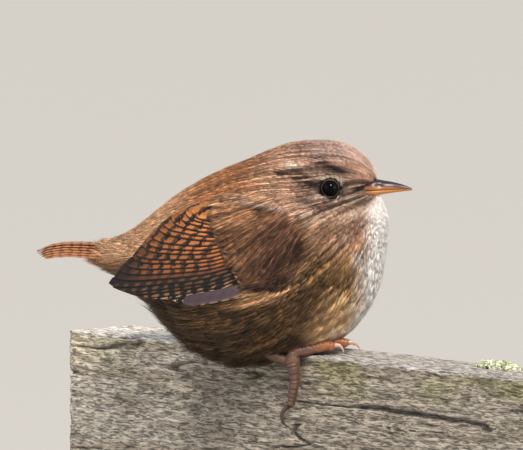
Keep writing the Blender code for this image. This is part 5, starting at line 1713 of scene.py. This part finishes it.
def make_lichen():
    """Crusty lobes scattered over a patch of the rail's top, near its far end."""
    tree = bpy.data.node_groups.new("lichen lobes", "GeometryNodeTree")
    tree.interface.new_socket("Patch", in_out="INPUT", socket_type="NodeSocketGeometry")
    lobe = tree_input(tree, "Lobe Radius", "Float", 0.6 * MM)
    density = tree_input(tree, "Lobes per Area", "Float", 1.0e6)
    tree.interface.new_socket("Lichen", in_out="OUTPUT", socket_type="NodeSocketGeometry")

    def add(kind, **links):
        made = tree.nodes.new(kind)
        for name, value in links.items():
            socket = made.inputs[name.replace("_", " ")]
            if isinstance(value, bpy.types.NodeSocket):
                tree.links.new(value, socket)
            else:
                socket.default_value = value
        return made

    given = add("NodeGroupInput")
    scatter = add("GeometryNodeDistributePointsOnFaces", Mesh=given.outputs[0],
                  Density=given.outputs["Lobes per Area"], Seed=5)
    ball = add("GeometryNodeMeshIcoSphere", Radius=given.outputs["Lobe Radius"], Subdivisions=2)
    sizes = add("FunctionNodeRandomValue", Seed=6)
    sizes.data_type = "FLOAT_VECTOR"
    sizes.inputs[0].default_value = (0.5, 0.5, 0.35)
    sizes.inputs[1].default_value = (1.5, 1.5, 1.1)
    place = add("GeometryNodeInstanceOnPoints", Points=scatter.outputs["Points"],
                Instance=ball.outputs["Mesh"], Scale=sizes.outputs[0])
    real = add("GeometryNodeRealizeInstances", Geometry=place.outputs["Instances"])
    skin = add("GeometryNodeSetMaterial", Geometry=real.outputs[0])
    skin.inputs["Material"].default_value = crusty_lichen()
    out = add("NodeGroupOutput")
    tree.links.new(skin.outputs[0], out.inputs[0])
    centre = GRIP + ALONG * 54.0 - OUTWARD * 13.5
    turns = np.arange(24) * 2 * math.pi / 24
    reach = 0.75 + 0.5 * cloud(np.stack([turns * 3, turns * 0, turns * 0], 1), 1.4)
    flat = (centre + (7.5 * np.cos(turns) * reach)[:, None] * ALONG
            + (3.2 * np.sin(turns) * reach)[:, None] * OUTWARD)
    patch = bpy.data.meshes.new("patch")
    rim = np.column_stack([flat, np.full(24, RAIL_TOP - 0.2)])
    mound = np.vstack([rim, (rim + np.array([*centre, RAIL_TOP + 2.2])) / 2,
                       [*centre, RAIL_TOP + 1.2]])
    j = np.arange(24)
    k = (j + 1) % 24
    patch.from_pydata(to_row(mound).tolist(), [],
                      np.stack([j, k, k + 24, j + 24], axis=1).tolist()
                      + np.stack([j + 24, k + 24, np.full(24, 48)], axis=1).tolist())
    holder = bpy.data.objects.new("patch", patch)
    bpy.context.scene.collection.objects.link(holder)
    modifier = holder.modifiers.new("lichen", "NODES")
    modifier.node_group = tree
    modifier[lobe] = 0.62 * MM
    modifier[density] = 2.4e6
    bpy.context.view_layer.update()
    graph = bpy.context.evaluated_depsgraph_get()
    made = bpy.data.meshes.new_from_object(holder.evaluated_get(graph))
    bpy.data.objects.remove(holder)
    piece = bpy.data.objects.new("lichen", made)
    made.shade_smooth()
    bpy.context.scene.collection.objects.link(piece)
    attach(piece, "root")


def make_stand():
    """The base and rods keep their solids and get their finishes."""
    finishes = {"stand_base": stained_beech(), "stand_rod_near": brushed_steel()}
    finishes["stand_rod_far"] = finishes["stand_rod_near"]
    for name, finish in finishes.items():
        mesh = frame["nodes"][name].data
        mesh.materials.clear()
        mesh.materials.append(finish)


# Studio

VIEW_TURN = math.radians(10.0)
VIEW_LIFT = math.radians(5.2)
VIEW_WIDTH = 125.52 * MM
VIEW_DISTANCE = 4.0
VIEW_SHIFT = (-9.552, 31.176)


def make_camera():
    right = np.array([math.cos(VIEW_TURN), math.sin(VIEW_TURN), 0.0])
    ahead = np.array([-math.sin(VIEW_TURN) * math.cos(VIEW_LIFT),
                      math.cos(VIEW_TURN) * math.cos(VIEW_LIFT), -math.sin(VIEW_LIFT)])
    up = np.cross(right, ahead)
    target = to_row(right * VIEW_SHIFT[0] + up * VIEW_SHIFT[1])
    camera = bpy.data.objects.new("camera", bpy.data.cameras.new("camera"))
    camera.data.sensor_width = 36.0
    camera.data.lens = 36.0 * VIEW_DISTANCE / VIEW_WIDTH
    camera.data.clip_start, camera.data.clip_end = 0.05, 100.0
    camera.location = target - ahead * VIEW_DISTANCE
    camera.rotation_euler = Vector(ahead).to_track_quat("-Z", "Y").to_euler()
    bpy.context.scene.collection.objects.link(camera)
    bpy.context.scene.camera = camera


def add_light(name, place, size, power, colour):
    """A soft square lamp at a place in metres, aimed at the bird."""
    data = bpy.data.lights.new(name, "AREA")
    data.size, data.energy, data.color = size, power, linear(colour)
    lamp = bpy.data.objects.new(name, data)
    lamp.location = place
    aim = Vector(to_row((0.0, 0.0, 25.0))) - Vector(place)
    lamp.rotation_euler = aim.to_track_quat("-Z", "Y").to_euler()
    lamp.visible_camera = False
    bpy.context.scene.collection.objects.link(lamp)


def make_studio():
    floor = bpy.data.meshes.new("floor")
    reach = 40.0
    floor.from_pydata([(-reach, -reach, 0), (reach, -reach, 0), (reach, reach, 0),
                       (-reach, reach, 0)], [], [(0, 1, 2, 3)])
    floor.materials.append(pale_paper())
    plane = bpy.data.objects.new("floor", floor)
    plane.location.z = -0.0005
    bpy.context.scene.collection.objects.link(plane)
    world = bpy.data.worlds.new("studio")
    bpy.context.scene.world = world
    world.use_nodes = True
    sky = world.node_tree.nodes["Background"]
    sky.inputs["Color"].default_value = rgba("#e6eaee")
    sky.inputs["Strength"].default_value = 0.8
    key = bpy.data.lights.new("key", "SUN")
    key.energy, key.angle, key.color = 4.2, math.radians(18.0), linear("#fff4ea")
    lamp = bpy.data.objects.new("key", key)
    lamp.rotation_euler = Vector((-0.34, 0.66, -0.67)).to_track_quat("-Z", "Y").to_euler()
    bpy.context.scene.collection.objects.link(lamp)
    add_light("front", (1.2, -0.35, 0.3), 0.7, 6.0, "#fdf8f2")
    add_light("fill", (-0.8, -0.9, 0.35), 0.8, 2.5, "#eef3ff")
    bpy.context.scene.view_settings.view_transform = "Standard"


def main():
    for old in [o for o in bpy.data.objects if o.name in ("Cube", "Light", "Camera")]:
        bpy.data.objects.remove(old)
    make_camera()
    make_studio()
    feathers = contour_feathers()
    surface = skin_surface()
    make_skin(surface, feathers)
    make_coat(surface, feathers)
    wing_webs = barred_vanes("barred flight feather", 2.75, 0.42, 0.94)
    for side, name in ((-1, "wing_right"), (1, "wing_left")):
        make_wing(side, name, wing_webs, feathers)
    make_tail(barred_vanes("barred tail feather", 2.2, 0.3, 0.35))
    make_bill()
    make_eyes(feathers)
    make_feet()
    make_rail()
    make_stand()


main()
